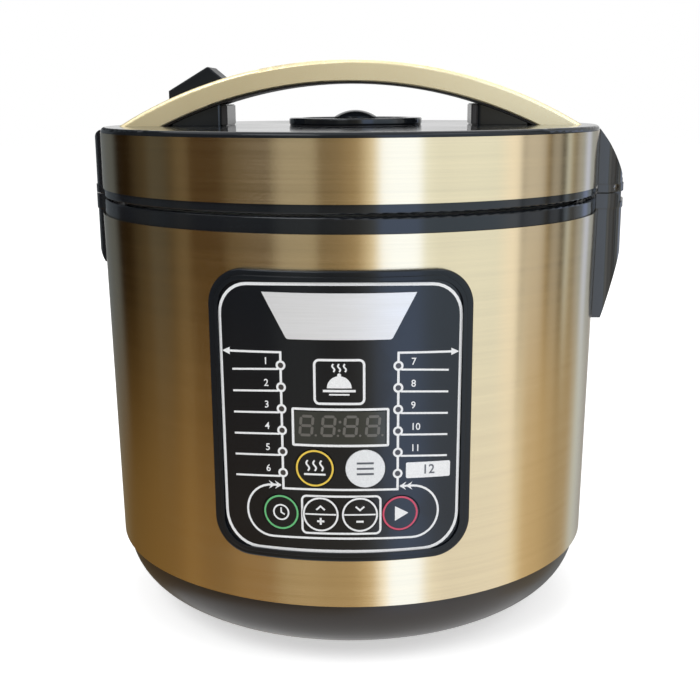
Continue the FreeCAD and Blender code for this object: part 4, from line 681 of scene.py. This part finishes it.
def finish_tree(tree, out, last, material):
    """Closes a geometry tree with real geometry in one material."""
    real = put(tree, "GeometryNodeRealizeInstances", {"Geometry": last.outputs[0]})
    inked = put(tree, "GeometryNodeSetMaterial", {"Geometry": real.outputs[0], "Material": material})
    fill(out, {"Geometry": inked.outputs[0]})


TREE_MAKERS = {"Wrapped Marks": wrap_tree, "Cross Recesses": recess_tree}


def grown(name, mesh, tree_name, values, body):
    """Piece made by a geometry tree, turned into a plain mesh that rides on a body."""
    tree = bpy.data.node_groups.get(tree_name) or TREE_MAKERS[tree_name]()
    piece = link(name, mesh)
    modifier = piece.modifiers.new("Shape", "NODES")
    modifier.node_group = tree
    keys = {s.name: s.identifier for s in tree.interface.items_tree if s.in_out == "INPUT"}
    for label, value in values.items():
        modifier[keys[label]] = value
    made = bpy.data.meshes.new_from_object(piece.evaluated_get(bpy.context.evaluated_depsgraph_get()))
    if not made.polygons:
        raise RuntimeError(f"{name} came out empty")
    piece.modifiers.clear()
    piece.data = made
    made.name = name
    bpy.data.meshes.remove(mesh)
    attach(piece, body)


def wrapped(name, mesh, ink, body="cooker", slot=None, lift=0.0, **changes):
    """Flat mesh bent onto the panel's face, or onto another face where sizes are changed."""
    panel = scene_of("cooker_panel")
    values = {"Columns": 1, "Column Pitch": 0.0, "Rows": 1, "Row Pitch": 0.0, "Sag": 0.0, "Axis": AXIS_X,
              "Foot Radius": panel.foot_radius + lift, "Rise": panel.rise, "Foot Level": panel.foot_level,
              "Bend Radius": panel.bend, "Facing": -1.0, "Ink": ink}
    grown(name, mesh, "Wrapped Marks", {**values, **spaced(changes)}, body)


def printed(name, drawing, ink, *where, **changes):
    """Drawing bent onto the panel, or onto another face where sizes are changed."""
    wrapped(name, drawing.mesh(name), ink, *where, **changes)


def white_print(name, drawing, **changes):
    """Drawing bent onto the panel in white."""
    printed(name, drawing, inks()["print_white"], slot="key_white", **changes)


def inks():
    """Inks of the panel, made once."""
    return {key: bpy.data.materials.get(key) or ink_finish(key, shade(key))
            for key in ("print_white", "print_dark", "ring_yellow", "ring_green", "ring_red", "digit_grey")}


# Operators


class Maker:
    """Shared part of the cooker's operators."""

    bl_options = {"REGISTER", "UNDO"}

    def execute(self, context):
        """Runs the step and lets its errors through."""
        self.make(context.scene)
        return {"FINISHED"}


class COOKER_OT_stage(Maker, bpy.types.Operator):
    """Floor, light, reflector ring and camera"""

    bl_idname = "cooker.stage"
    bl_label = "Stage"

    def make(self, scene):
        """Builds the studio."""
        sizes = scene.cooker_studio
        scene.view_settings.view_transform = "Standard"
        self.sky(scene, sizes)
        self.floor(sizes)
        self.ring(sizes)
        self.lamps()
        self.camera(scene, sizes)

    def sky(self, scene, sizes):
        """White backdrop for eye, gloss and glass, and an even light for the rest."""
        scene.world = bpy.data.worlds.new("studio")
        tree = bare_tree(scene.world)
        path = put(tree, "ShaderNodeLightPath").outputs
        seen = path["Is Camera Ray"]
        for ray in ("Is Glossy Ray", "Is Transmission Ray"):
            seen = sum_of(tree, "MAXIMUM", seen, path[ray])
        even, white = [put(tree, "ShaderNodeBackground", {"Color": WHITE, "Strength": level}).outputs[0]
                       for level in (sizes.sky, 1.0)]
        both = put(tree, "ShaderNodeMixShader", {0: seen, 1: even, 2: white})
        put(tree, "ShaderNodeOutputWorld", {"Surface": both.outputs[0]})

    def coat(self, mesh, name):
        """Gives a mesh a new material and returns its empty tree."""
        material = bpy.data.materials.new(name)
        mesh.materials.append(material)
        return bare_tree(material)

    def floor(self, sizes):
        """Pale floor that keeps the object's shadow."""
        half = sizes.floor / 2
        mesh = bpy.data.meshes.new("floor")
        mesh.from_pydata([(-half, -half, 0), (half, -half, 0), (half, half, 0), (-half, half, 0)], [],
                         [(0, 1, 2, 3)])
        floor = link("floor", mesh)
        tree = self.coat(mesh, "pale_floor")
        path = put(tree, "ShaderNodeLightPath").outputs
        matt = put(tree, "ShaderNodeBsdfDiffuse", {"Color": (0.86, 0.86, 0.86, 1)})
        level = sum_of(tree, "MULTIPLY", path["Is Camera Ray"], sizes.glow)
        glow = put(tree, "ShaderNodeEmission", {"Color": WHITE, "Strength": level})
        both = put(tree, "ShaderNodeAddShader", {0: matt.outputs[0], 1: glow.outputs[0]})
        put(tree, "ShaderNodeOutputMaterial", {"Surface": both.outputs[0]})
        floor.visible_glossy = False

    def ring(self, sizes):
        """Ring of pale and dark boards that only reflections see."""
        points, faces = [], []
        for i in range(RING_SIDES):
            angle = 2 * math.pi * i / RING_SIDES
            x, y = AXIS_X + sizes.ring * math.cos(angle), sizes.ring * math.sin(angle)
            points += [(x, y, RING_LOW), (x, y, RING_HIGH)]
            j = (i + 1) % RING_SIDES
            faces.append((2 * i, 2 * i + 1, 2 * j + 1, 2 * j))
        mesh = bpy.data.meshes.new("reflector_ring")
        mesh.from_pydata(points, [], faces)
        ring = link("reflector_ring", mesh)
        tree = self.coat(mesh, "reflector_boards")
        place = place_of(tree)
        facing = put(tree, "ShaderNodeMapping", {"Vector": place, "Rotation": (0, 0, QUARTER_TURN)})
        bearing = put(tree, "ShaderNodeTexGradient", {"Vector": facing.outputs[0]},
                      gradient_type="RADIAL").outputs["Fac"]
        lower, left, right = [self.boards(tree, bearing, steps)
                              for steps in (LOWER_BOARDS, LEFT_BOARDS, RIGHT_BOARDS)]
        upper = blend(tree, sum_of(tree, "GREATER_THAN", bearing, 0.5), left, right)
        level = put(tree, "ShaderNodeSeparateXYZ", {0: place}).outputs["Z"]
        wide, near = [blend(tree, spread(tree, level, 0.0, 1.0, *ends), lower, upper)
                      for ends in (WIDE_LEVELS, NEAR_LEVELS)]
        both = blend(tree, spread(tree, bearing, 0.0, 1.0, *LEVELS_TURN), wide, near)
        shine = put(tree, "ShaderNodeEmission", {"Color": both, "Strength": 1.0})
        put(tree, "ShaderNodeOutputMaterial", {"Surface": shine.outputs[0]})
        for side in ("camera", "diffuse", "transmission", "volume_scatter", "shadow"):
            setattr(ring, "visible_" + side, False)

    def boards(self, tree, bearing, steps):
        """Brightness of the boards by bearing: 0 towards the camera, to the right positive."""
        node = put(tree, "ShaderNodeValToRGB", {"Fac": bearing})
        ramp = node.color_ramp
        while len(ramp.elements) > 1:
            ramp.elements.remove(ramp.elements[-1])
        for i, (degrees, level, tint) in enumerate(steps):
            spot = ramp.elements.new(degrees / 360 + 0.5) if i else ramp.elements[0]
            spot.position = degrees / 360 + 0.5
            spot.color = toned(tint, level)
        return node.outputs["Color"]

    def lamps(self):
        """Soft lamps above, left and right."""
        for name, place, width, power in LAMPS:
            light = bpy.data.lights.new(name, "AREA")
            light.shape = "DISK"
            light.size = width
            light.energy = power
            lamp = link(name, light)
            lamp.location = place
            lamp.rotation_euler = (LAMP_AIM - Vector(place)).to_track_quat("-Z", "Y").to_euler()

    def camera(self, scene, sizes):
        """Camera at the photograph's viewing angle."""
        a, p, r = sizes.bearing, sizes.pitch, sizes.roll
        level = Vector((math.cos(a), math.sin(a), 0))
        ahead = Vector((-math.sin(a) * math.cos(p), math.cos(a) * math.cos(p), -math.sin(p)))
        upright = level.cross(ahead)
        right = math.cos(r) * level + math.sin(r) * upright
        up = math.cos(r) * upright - math.sin(r) * level
        camera = bpy.data.cameras.new("camera")
        camera.lens = sizes.lens
        camera.sensor_width = 36.0
        camera.shift_x = SHIFT_PIXELS / IMAGE_PIXELS
        camera.clip_start, camera.clip_end = 0.01, 50.0
        holder = link("camera", camera)
        holder.matrix_world = Matrix(((right.x, up.x, -ahead.x, AXIS_X + sizes.distance * math.sin(a)),
                                      (right.y, up.y, -ahead.y, -sizes.distance * math.cos(a)),
                                      (right.z, up.z, -ahead.z, sizes.height), (0, 0, 0, 1)))
        scene.camera = holder


class COOKER_OT_steel_body(Maker, bpy.types.Operator):
    """Gold brushed steel of the sleeve and the lid band"""

    bl_idname = "cooker.steel_body"
    bl_label = "Steel Body"

    def make(self, scene):
        """Brushes the steel round the body."""
        dress(steel_finish("gold_steel", shade("gold_light"), shade("gold_deep"), scale=(5, 5, 2200),
                           roughness=0.20, anisotropy=0.95, rotation=0.25), "body_shell", "lid_band")


class COOKER_OT_black_mouldings(Maker, bpy.types.Operator):
    """Glossy black lid, rim, lugs, lever and vent"""

    bl_idname = "cooker.black_mouldings"
    bl_label = "Black Mouldings"

    def make(self, scene):
        """Gives the mouldings their gloss."""
        black, warm = shade("gloss_black"), (1.0, 0.95, 0.84, 1)
        dress(gloss_finish("black_gloss", black, smooth=0.07, rough=0.12), "rim_ring", "catch_housing",
              "lid_ring", "latch_housing", "handle_support_left", "handle_support_right", "vent_cap",
              "vent_knob")
        dress(gloss_finish("lug_gloss", black, smooth=0.10, rough=0.16, shine=0.7, tint=warm),
              "hinge_bracket", "hinge_cover")
        dress(gloss_finish("lid_gloss", black, smooth=0.07, rough=0.12, shine=0.3), "lid_cover")
        dress(gloss_finish("bezel_gloss", black, smooth=0.09, rough=0.14, shine=0.3), "panel_bezel")
        dress(gloss_finish("lever_black", black, smooth=0.34, rough=0.42, shine=0.2), "release_lever")


class COOKER_OT_satin_mouldings(Maker, bpy.types.Operator):
    """Satin black base, grip and small mouldings"""

    bl_idname = "cooker.satin_mouldings"
    bl_label = "Satin Mouldings"

    def make(self, scene):
        """Gives the mouldings their grain."""
        black = shade("satin_black")
        pan_grey, rubber, silicone = (0.12, 0.12, 0.125, 1), (0.018, 0.018, 0.018, 1), (0.50, 0.50, 0.49, 1)
        dress(satin_finish("base_satin", black, roughness=0.36, grain_scale=1400.0, relief=0.12),
              "base_housing")
        dress(satin_finish("black_satin", black, roughness=0.42), "power_inlet", "inner_lid_nut",
              "handle_grip", "vent_cup", "latch_link")
        dress(satin_finish("pan_grey", pan_grey, roughness=0.45), "lid_liner")
        dress(satin_finish("foot_rubber", rubber, roughness=0.7, grain_scale=900.0, relief=0.4), "base_feet")
        dress(satin_finish("silicone", silicone, roughness=0.5, grain_scale=1100.0, relief=0.1), "lid_seal",
              "vent_gasket")


class COOKER_OT_handle(Maker, bpy.types.Operator):
    """Champagne gold of the arched handle"""

    bl_idname = "cooker.handle"
    bl_label = "Handle"

    def make(self, scene):
        """Paints the arch."""
        dress(paint_finish("gold_paint", shade("handle_gold"), shade("handle_spark"), metallic=0.75,
                           roughness=0.38), "handle_arch")


class COOKER_OT_lid_trims(Maker, bpy.types.Operator):
    """Collar under the steam vent and end plates of the handle supports"""

    bl_idname = "cooker.lid_trims"
    bl_label = "Lid Trims"

    def make(self, scene):
        """Adds the small mouldings on top of the lid."""
        gloss, top, gap = bpy.data.materials["black_gloss"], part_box("lid_cover")[1].z, 0.00002
        self.collar(gloss, top + gap)
        thick, trim, round_edge = 0.0034, 0.002, 0.0006
        for name, side in (("handle_support_left", 1), ("handle_support_right", -1)):
            low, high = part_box(name)
            inner = high.x if side > 0 else low.x
            solid = bmesh.new()
            made = bmesh.ops.create_cube(solid, size=1.0)["verts"]
            bmesh.ops.scale(solid, vec=(thick, high.y - low.y - trim, high.z - top), verts=made)
            bmesh.ops.translate(solid, vec=(inner + side * (thick / 2 + gap), (low.y + high.y) / 2,
                                            (high.z + top) / 2 + gap), verts=made)
            bmesh.ops.bevel(solid, geom=list(solid.edges), offset=round_edge, segments=3, affect="EDGES")
            self.place(solid, name + "_end", gloss)

    def collar(self, gloss, foot):
        """Low ring between the lid and the edge of the vent's cap."""
        cap = [v.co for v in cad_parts["vent_cap"].data.vertices]
        low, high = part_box("vent_cap")
        middle, radius = (low.x + high.x) / 2, (high.x - low.x) / 2
        edge, clear, sides = 0.003, 0.0001, 96
        roof = min(p.z for p in cap if math.hypot(p.x - middle, p.y) > radius - edge) - clear
        outer, inner = radius - 0.0004, radius - 0.0060
        solid = bmesh.new()
        rings = []
        for i in range(sides):
            across, along = math.cos(2 * math.pi * i / sides), math.sin(2 * math.pi * i / sides)
            rings.append([solid.verts.new((middle + r * across, r * along, z))
                          for r, z in ((outer, foot), (outer, roof), (inner, roof), (inner, foot))])
        for i, ring in enumerate(rings):
            after = rings[(i + 1) % sides]
            for j in range(4):
                solid.faces.new((ring[j], after[j], after[(j + 1) % 4], ring[(j + 1) % 4]))
        self.place(solid, "vent_collar", gloss)

    def place(self, solid, name, material):
        """Turns a solid into a piece of the lid."""
        bmesh.ops.recalc_face_normals(solid, faces=solid.faces)
        mesh = bpy.data.meshes.new(name)
        solid.to_mesh(mesh)
        solid.free()
        mesh.materials.append(material)
        piece = link(name, mesh)
        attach(piece, "lid")


class COOKER_OT_control_panel(Maker, bpy.types.Operator):
    """Film, badge plate, lenses and key caps of the control panel"""

    bl_idname = "cooker.control_panel"
    bl_label = "Control Panel"

    def make(self, scene):
        """Finishes the panel's pieces."""
        film, lens_grey = shade("film_black"), (0.05, 0.045, 0.045, 1)
        dress(gloss_finish("panel_black", film, smooth=0.16, rough=0.24, edge=0.0), "panel_face")
        dress(gloss_finish("key_black", film, smooth=0.14, rough=0.22, edge=0.0003), "key_warm", "key_preset",
              "key_plus", "key_minus", "key_start")
        dress(ink_finish("key_white", shade("key_white"), roughness=0.25), "key_menu")
        dress(gloss_finish("smoke_lens", shade("lens_smoke"), smooth=0.10, rough=0.16, edge=0.0),
              "display_window")
        dress(gloss_finish("light_lens", lens_grey, smooth=0.15, rough=0.25, edge=0.0), "indicator_lenses")
        dress(metal_finish("silver_plate", shade("plate_silver"), roughness=0.36, scale=(40, 40, 2600),
                           metallic=0.25, depth=0.94), "badge_plate")


class COOKER_OT_panel_print(Maker, bpy.types.Operator):
    """White lines, numbers and signs printed on the panel"""

    bl_idname = "cooker.panel_print"
    bl_label = "Panel Print"

    def make(self, scene):
        """Draws the print flat and bends it onto the panel."""
        panel = scene.cooker_panel
        fine = panel.line / MM
        self.frame_lines(panel, fine)
        self.programme_lines(panel, fine)
        self.dish_sign(fine)
        self.loop_line(panel, fine)
        dark = Drawing()
        dark.number("12", height=4.6, x=41.4, z=106.8)
        printed("print_twelve", dark, inks()["print_dark"], lift=0.00008, Sag=panel.sag)

    def frame_lines(self, panel, fine):
        """Border of the panel and frames of the clock and the timer keys."""
        lines = Drawing()
        lines.line(rounded_box(half=21.8, low=119.0, high=136.2, bend=0.4, x=0.3), fine * BOLD, True)
        lines.line(rounded_box(half=18.3, low=76.2, high=94.5, bend=2.2, x=0.4), fine, True)
        white_print("print_frames", lines)
        half, low, high, split = 56.2, 67.4, 193.6, 100.0
        for name, sag, bend, end in (("print_border_top", panel.sag, 14.0, high),
                                     ("print_border_foot", panel.foot_sag, 16.5, low)):
            side = 1 if end > split else -1
            start = split + sag * MM * half * half
            corner = arc(half - bend, end - side * bend, bend, 0, 90 * side, 8)
            path = [(half, start)] + corner + [(-x, z) for x, z in reversed(corner)] + [(-half, start)]
            drawing = Drawing()
            drawing.line(path, panel.border / MM)
            white_print(name, drawing, Sag=sag)

    def programme_lines(self, panel, fine):
        """Programme lights' columns, underlines, arrows and numbers."""
        lines, under, numbers = Drawing(), Drawing(), Drawing()
        column, top, bottom, first, gap, overlap = 26.7, 162.5, 97.8, 105.1, 1.9, 0.5
        lead_end, arrow_start, arrow_tip, arrow_widths = 52.5, 51.6, 55.3, [3.4, 0.2]
        under_start, under_end, under_drop = 1.3, 50.5, 1.05
        type_height, type_x, type_rise = 3.4, 32.6, 2.6
        pitch, rows = panel.light_pitch / MM, panel.light_rows
        levels = [first + pitch * row for row in range(rows)]
        stops = [bottom] + [z + step for z in levels for step in (-gap, gap)] + [top]
        for side in (-1, 1):
            x = side * column
            for low, high in zip(stops[::2], stops[1::2]):
                lines.line([(x, low), (x, high)], fine * BOLD)
            lines.line([(x - side * overlap, top), (side * lead_end, top)], fine)
            lines.line([(side * arrow_start, top), (side * arrow_tip, top)], arrow_widths)
            for row, z in enumerate(levels):
                if side > 0 and row == 0:
                    continue  # a white plate takes the last number
                under.line([(x + side * under_start, z - under_drop), (side * under_end, z - under_drop)],
                           fine * THIN)
                count = rows - row + (rows if side > 0 else 0)
                numbers.number(str(count), type_height, side * type_x, z + type_rise,
                               "LEFT" if side > 0 else "RIGHT")
        lines.line([(-column - overlap, bottom), (column + overlap, bottom)], fine)
        lines.plate(rounded_box(half=10.8, low=103.0, high=110.6, bend=0.8, x=41.4))
        white_print("print_lines", lines, Sag=panel.sag)
        white_print("print_underlines", under, Sag=panel.word_sag)
        white_print("print_numbers", numbers, Sag=panel.word_sag)
        ring = Drawing()
        ring.line(circle(0, 0, radius=1.8, count=24), 1.0, True)
        flat = ring.mesh("print_light_rings")
        flat.transform(Matrix.Translation((0, 0, (levels[0] + levels[-1]) / 2 * MM)))
        wrapped("print_light_rings", flat, inks()["print_white"], slot="key_white", Columns=2,
                Column_Pitch=2 * column * MM, Rows=rows, Row_Pitch=panel.light_pitch)

    def dish_sign(self, fine):
        """Framed sign of a covered dish with steam."""
        sign = Drawing()
        sign.line(rounded_box(half=11.2, low=138.9, high=159.2, bend=2.2), fine * BOLD, True)
        sign.plate(arc(0, 146.2, 5.6, 0, 180, 20))
        sign.plate(circle(0, 152.2, radius=0.9, count=16))
        sign.line([(-7.4, 144.9), (7.4, 144.9)], 1.1)
        sign.line([(-4.6, 143.2), (4.6, 143.2)], 0.7)
        for x in (-2.6, 0.0, 2.6):
            sign.line(wave(x, low=153.8, height=3.6, swing=0.55), 0.75)
        white_print("print_dish_sign", sign)

    def loop_line(self, panel, fine):
        """Line that loops round the lower keys, with double arrowheads."""
        loop = Drawing()
        low, high, half, move, opening = 73.8, 99.3, 45.7, 0.8, 28.0
        bend, middle = (high - low) / 2, (high + low) / 2
        head, notch, wing = 3.2, 1.9, 2.0
        left = [(-opening, high)] + arc(move - half + bend, middle, bend, 90, 270, 18)
        right = arc(move + half - bend, middle, bend, -90, 90, 18) + [(opening, high)]
        loop.line(left + right, fine)
        for side in (-1, 1):
            for x in (27.6, 30.6):
                loop.plate([(side * x, high), (side * (x + head), high + side * wing),
                            (side * (x + notch), high), (side * (x + head), high - side * wing)])
        white_print("print_loop", loop, Sag=panel.sag)


class COOKER_OT_display_digits(Maker, bpy.types.Operator):
    """Unlit segments of the clock"""

    bl_idname = "cooker.display_digits"
    bl_label = "Display Digits"

    def make(self, scene):
        """Repeats one digit along the lens and adds the colon."""
        panel, grey = scene.cooker_panel, inks()["digit_grey"]
        height, middle, sunk = panel.digit_height / MM, 128.3, -0.0001
        half, stroke, lean = height * 0.27, height * 0.125, 0.10
        gap, tip, point = stroke * 0.62, stroke * 0.4, 0.1
        digit = Drawing()
        ends = [((-half, 0.5), (half, 0.5)), ((-half, 0.0), (half, 0.0)), ((-half, -0.5), (half, -0.5)),
                ((-half, 0.5), (-half, 0.0)), ((half, 0.5), (half, 0.0)),
                ((-half, 0.0), (-half, -0.5)), ((half, 0.0), (half, -0.5))]
        for (x0, z0), (x1, z1) in ends:
            z0, z1 = z0 * (height - stroke), z1 * (height - stroke)
            if z0 == z1:
                x0, x1 = x0 + gap, x1 - gap
                tips = [(x0 - tip, z0), (x0, z0), (x1, z1), (x1 + tip, z1)]
            else:
                z0, z1 = z0 - gap, z1 + gap
                tips = [(x0, z0 + tip), (x0, z0), (x1, z1), (x1, z1 - tip)]
            digit.line([(x + z * lean, middle + z) for x, z in tips], [point, stroke, stroke, point])
        digit.plate(circle(half + stroke * 1.2, middle - height / 2 + stroke * 0.5, stroke * 0.42, 12))
        printed("clock_digits", digit, grey, slot="smoke_lens", lift=sunk, Columns=4,
                Column_Pitch=panel.digit_pitch)
        colon = Drawing()
        for z in (-0.2, 0.2):
            colon.plate(circle(z * height * lean, middle + z * height, stroke * 0.5, 14))
        printed("clock_colon", colon, grey, slot="smoke_lens", lift=sunk)


class COOKER_OT_key_signs(Maker, bpy.types.Operator):
    """Rings and signs of the six keys"""

    bl_idname = "cooker.key_signs"
    bl_label = "Key Signs"

    def make(self, scene):
        """Draws each key's ring and sign."""
        made, lift = inks(), scene.cooker_panel.key_lift
        upper, lower, large, small = 108.1, 85.7, 8.35, 7.95
        top_x, pair_x, end_x = 11.63, 9.16, 28.0
        signs = {"key_warm": (-top_x, upper, large, "ring_yellow", "print_white", self.heat),
                 "key_menu": (top_x, upper, large, None, "print_dark", self.bars),
                 "key_preset": (-end_x, lower, small, "ring_green", "print_white", self.clock),
                 "key_plus": (-pair_x, lower, small, "print_white", "print_white", self.plus),
                 "key_minus": (pair_x, lower, small, "print_white", "print_white", self.minus),
                 "key_start": (end_x, lower, small, "ring_red", "print_white", self.begin)}
        for key, (x, z, radius, ring_ink, sign_ink, draw) in signs.items():
            body = key + "_body"
            if ring_ink:
                ring = Drawing()
                ring.line(circle(x, z, radius, count=48), 0.85, True)
                printed(key + "_ring", ring, made[ring_ink], body, lift=lift)
            sign = Drawing()
            draw(sign, x, z)
            printed(key + "_sign", sign, made[sign_ink], body, lift=lift)

    def heat(self, sign, x, z):
        """Three heat waves over a plate."""
        for step in (-3.2, 0.0, 3.2):
            sign.line(wave(x + step, low=z - 1.2, height=5.0, swing=0.7), 0.8)
        sign.line([(x - 5.0, z - 2.9), (x + 5.0, z - 2.9)], 0.9)

    def bars(self, sign, x, z):
        """Three bars."""
        for step in (-2.6, 0.0, 2.6):
            sign.line([(x - 3.9, z + step), (x + 3.9, z + step)], 0.95)

    def clock(self, sign, x, z):
        """Clock face."""
        sign.line(circle(x, z, radius=3.6, count=28), 0.75, True)
        sign.line([(x, z + 2.3), (x, z), (x + 1.7, z - 1.0)], 0.7)

    def plus(self, sign, x, z):
        """Plus below a divider, with an upward mark above."""
        self.divider(sign, x, z)
        sign.line([(x, z - 1.7), (x, z - 5.1)], 0.95)
        sign.line([(x - 2.0, z + 2.2), (x, z + 4.0), (x + 2.0, z + 2.2)], 0.8)

    def minus(self, sign, x, z):
        """Minus below a divider, with a downward mark above."""
        self.divider(sign, x, z)
        sign.line([(x - 2.0, z + 4.0), (x, z + 2.2), (x + 2.0, z + 4.0)], 0.8)

    def divider(self, sign, x, z):
        """Line across a key, with a short bar below it."""
        sign.line([(x - 7.3, z), (x + 7.3, z)], 0.7)
        sign.line([(x - 1.7, z - 3.4), (x + 1.7, z - 3.4)], 0.95)

    def begin(self, sign, x, z):
        """Start triangle."""
        sign.plate([(x - 2.5, z - 3.6), (x + 3.9, z), (x - 2.5, z + 3.6)])


class COOKER_OT_cooking_pot(Maker, bpy.types.Operator):
    """Pot, heating plate, inner lid and the pot's level marks"""

    bl_idname = "cooker.cooking_pot"
    bl_label = "Cooking Pot"

    def make(self, scene):
        """Finishes the pot and prints its level marks."""
        cast, sheet = (0.60, 0.60, 0.61, 1), (0.74, 0.74, 0.75, 1)
        dress(coating_finish("pot_coating", shade("pot_coat")), "inner_pot")
        dress(turned_finish("cast_aluminium", cast, roughness=0.36, pitch=0.0022), "heating_plate")
        dress(turned_finish("sheet_aluminium", sheet, roughness=0.30, pitch=0.0011), "inner_lid",
              "pot_sensor")
        marks = Drawing()
        count, foot, pitch, wall = 5, 96.0, 22.0, 0.1111
        for step in range(count):
            z = foot + pitch * step
            marks.line([(-9.0, z), (-1.5, z)], 1.0)
            marks.number(str(step + 1), height=5.0, x=3.4, z=z)
            if step < count - 1:
                marks.line([(-9.0, z + pitch / 2), (-5.0, z + pitch / 2)], 0.7)
        printed("pot_marks", marks, inks()["print_white"], Foot_Radius=wall, Bend_Radius=wall, Rise=0.0,
                Foot_Level=0.0, Facing=1.0)


class COOKER_OT_inner_works(Maker, bpy.types.Operator):
    """Sheet metal, pins, springs, boards and switches"""

    bl_idname = "cooker.inner_works"
    bl_label = "Inner Works"

    def make(self, scene):
        """Finishes the hidden pieces."""
        zinc, steel, spring = (0.55, 0.56, 0.58, 1), (0.58, 0.58, 0.59, 1), (0.42, 0.42, 0.43, 1)
        module = (0.03, 0.03, 0.032, 1)
        dress(spangle_finish("zinc_steel", zinc), "inner_liner", "sensor_bracket")
        dress(metal_finish("steel", steel, roughness=0.30, scale=(600, 600, 600)), "base_screws",
              "heater_screws", "handle_screws", "hinge_pin", "lever_pin", "latch_pin", "inlet_pins",
              "strike_plate")
        dress(metal_finish("spring_steel", spring, roughness=0.32, scale=(900, 900, 900)), "sensor_spring",
              "latch_spring")
        dress(board_finish("board_green", shade("board_green")), "control_board", "power_board")
        dress(satin_finish("module_dark", module, roughness=0.5), "display_module", "key_switches")


class COOKER_OT_springs(Maker, bpy.types.Operator):
    """Coils that stand in for the sensor and latch springs"""

    bl_idname = "cooker.springs"
    bl_label = "Springs"

    def make(self, scene):
        """Stands a coil in for each rigid spring, with its points merged and its sharp edges set by angle."""
        for node, name, still, moving in (("sensor_spring", "sensor_coil", "cooker", "sensor"),
                                          ("latch_spring", "latch_coil", "lid", "latch")):
            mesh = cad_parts[node].data.copy()
            mesh.name = name
            solid = bmesh.new()
            solid.from_mesh(mesh)
            bmesh.ops.remove_doubles(solid, verts=solid.verts, dist=1e-6)
            solid.to_mesh(mesh)
            solid.free()
            mesh.set_sharp_from_angle(angle=math.radians(40))
            piece = link(name, mesh)
            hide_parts(node)
            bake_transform(piece)


class COOKER_OT_screw_recesses(Maker, bpy.types.Operator):
    """Cross recesses of the base screws, as dark crosses of painted shade"""

    bl_idname = "cooker.screw_recesses"
    bl_label = "Screw Recesses"

    def make(self, scene):
        """Places a dark cross of painted recess shade under each screw of the base; no recess is cut."""
        low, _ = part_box("base_screws")
        face, cell = 0.0002, 0.02  # depth of the heads' faces, and a cell that holds one head
        heads = {}
        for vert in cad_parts["base_screws"].data.vertices:
            if vert.co.z < low.z + face:
                key = (round((vert.co.x - AXIS_X) / cell), round(vert.co.y / cell))
                heads.setdefault(key, []).append(vert.co)
        spots = []
        for points in heads.values():
            across, along = [p.x for p in points], [p.y for p in points]
            spots.append(((min(across) + max(across)) / 2, (min(along) + max(along)) / 2, low.z))
        mesh = bpy.data.meshes.new("screw_spots")
        mesh.from_pydata(spots, [], [])
        # near-black ink that paints the shade of each screw's cross recess
        dark = ink_finish("recess_shade", (0.02, 0.02, 0.02, 1), roughness=0.6)
        grown("screw_recesses", mesh, "Cross Recesses", {"Arm Length": 0.0042, "Arm Width": 0.0009,
                                                         "Depth": 0.00012, "Shade": dark}, "cooker")


class COOKER_PT_looks(bpy.types.Panel):
    """Steps that dress the cooker"""

    bl_idname = "COOKER_PT_looks"
    bl_label = "Cooker"
    bl_space_type = "VIEW_3D"
    bl_region_type = "UI"
    bl_category = "Cooker"

    def draw(self, context):
        """Lists the steps in order."""
        for step in STEPS:
            self.layout.operator(step.bl_idname)


STEPS = (COOKER_OT_stage, COOKER_OT_steel_body, COOKER_OT_black_mouldings, COOKER_OT_satin_mouldings,
         COOKER_OT_handle, COOKER_OT_lid_trims, COOKER_OT_control_panel, COOKER_OT_panel_print,
         COOKER_OT_display_digits, COOKER_OT_key_signs, COOKER_OT_cooking_pot, COOKER_OT_inner_works,
         COOKER_OT_springs, COOKER_OT_screw_recesses)
GROUPS = {"cooker_colours": CookerColours, "cooker_panel": PanelSizes, "cooker_studio": StudioSizes}


def register():
    """Registers the properties, the steps and the sidebar."""
    for name, kind in GROUPS.items():
        bpy.utils.register_class(kind)
        setattr(bpy.types.Scene, name, PointerProperty(type=kind))
    for step in (*STEPS, COOKER_PT_looks):
        bpy.utils.register_class(step)


def unregister():
    """Takes everything out again."""
    for step in reversed((*STEPS, COOKER_PT_looks)):
        bpy.utils.unregister_class(step)
    for name, kind in GROUPS.items():
        delattr(bpy.types.Scene, name)
        bpy.utils.unregister_class(kind)


def main():
    """Dresses the cooker."""
    register()
    for step in STEPS:
        family, name = step.bl_idname.split(".")
        getattr(getattr(bpy.ops, family), name)()


if __name__ == "__main__":
    main()
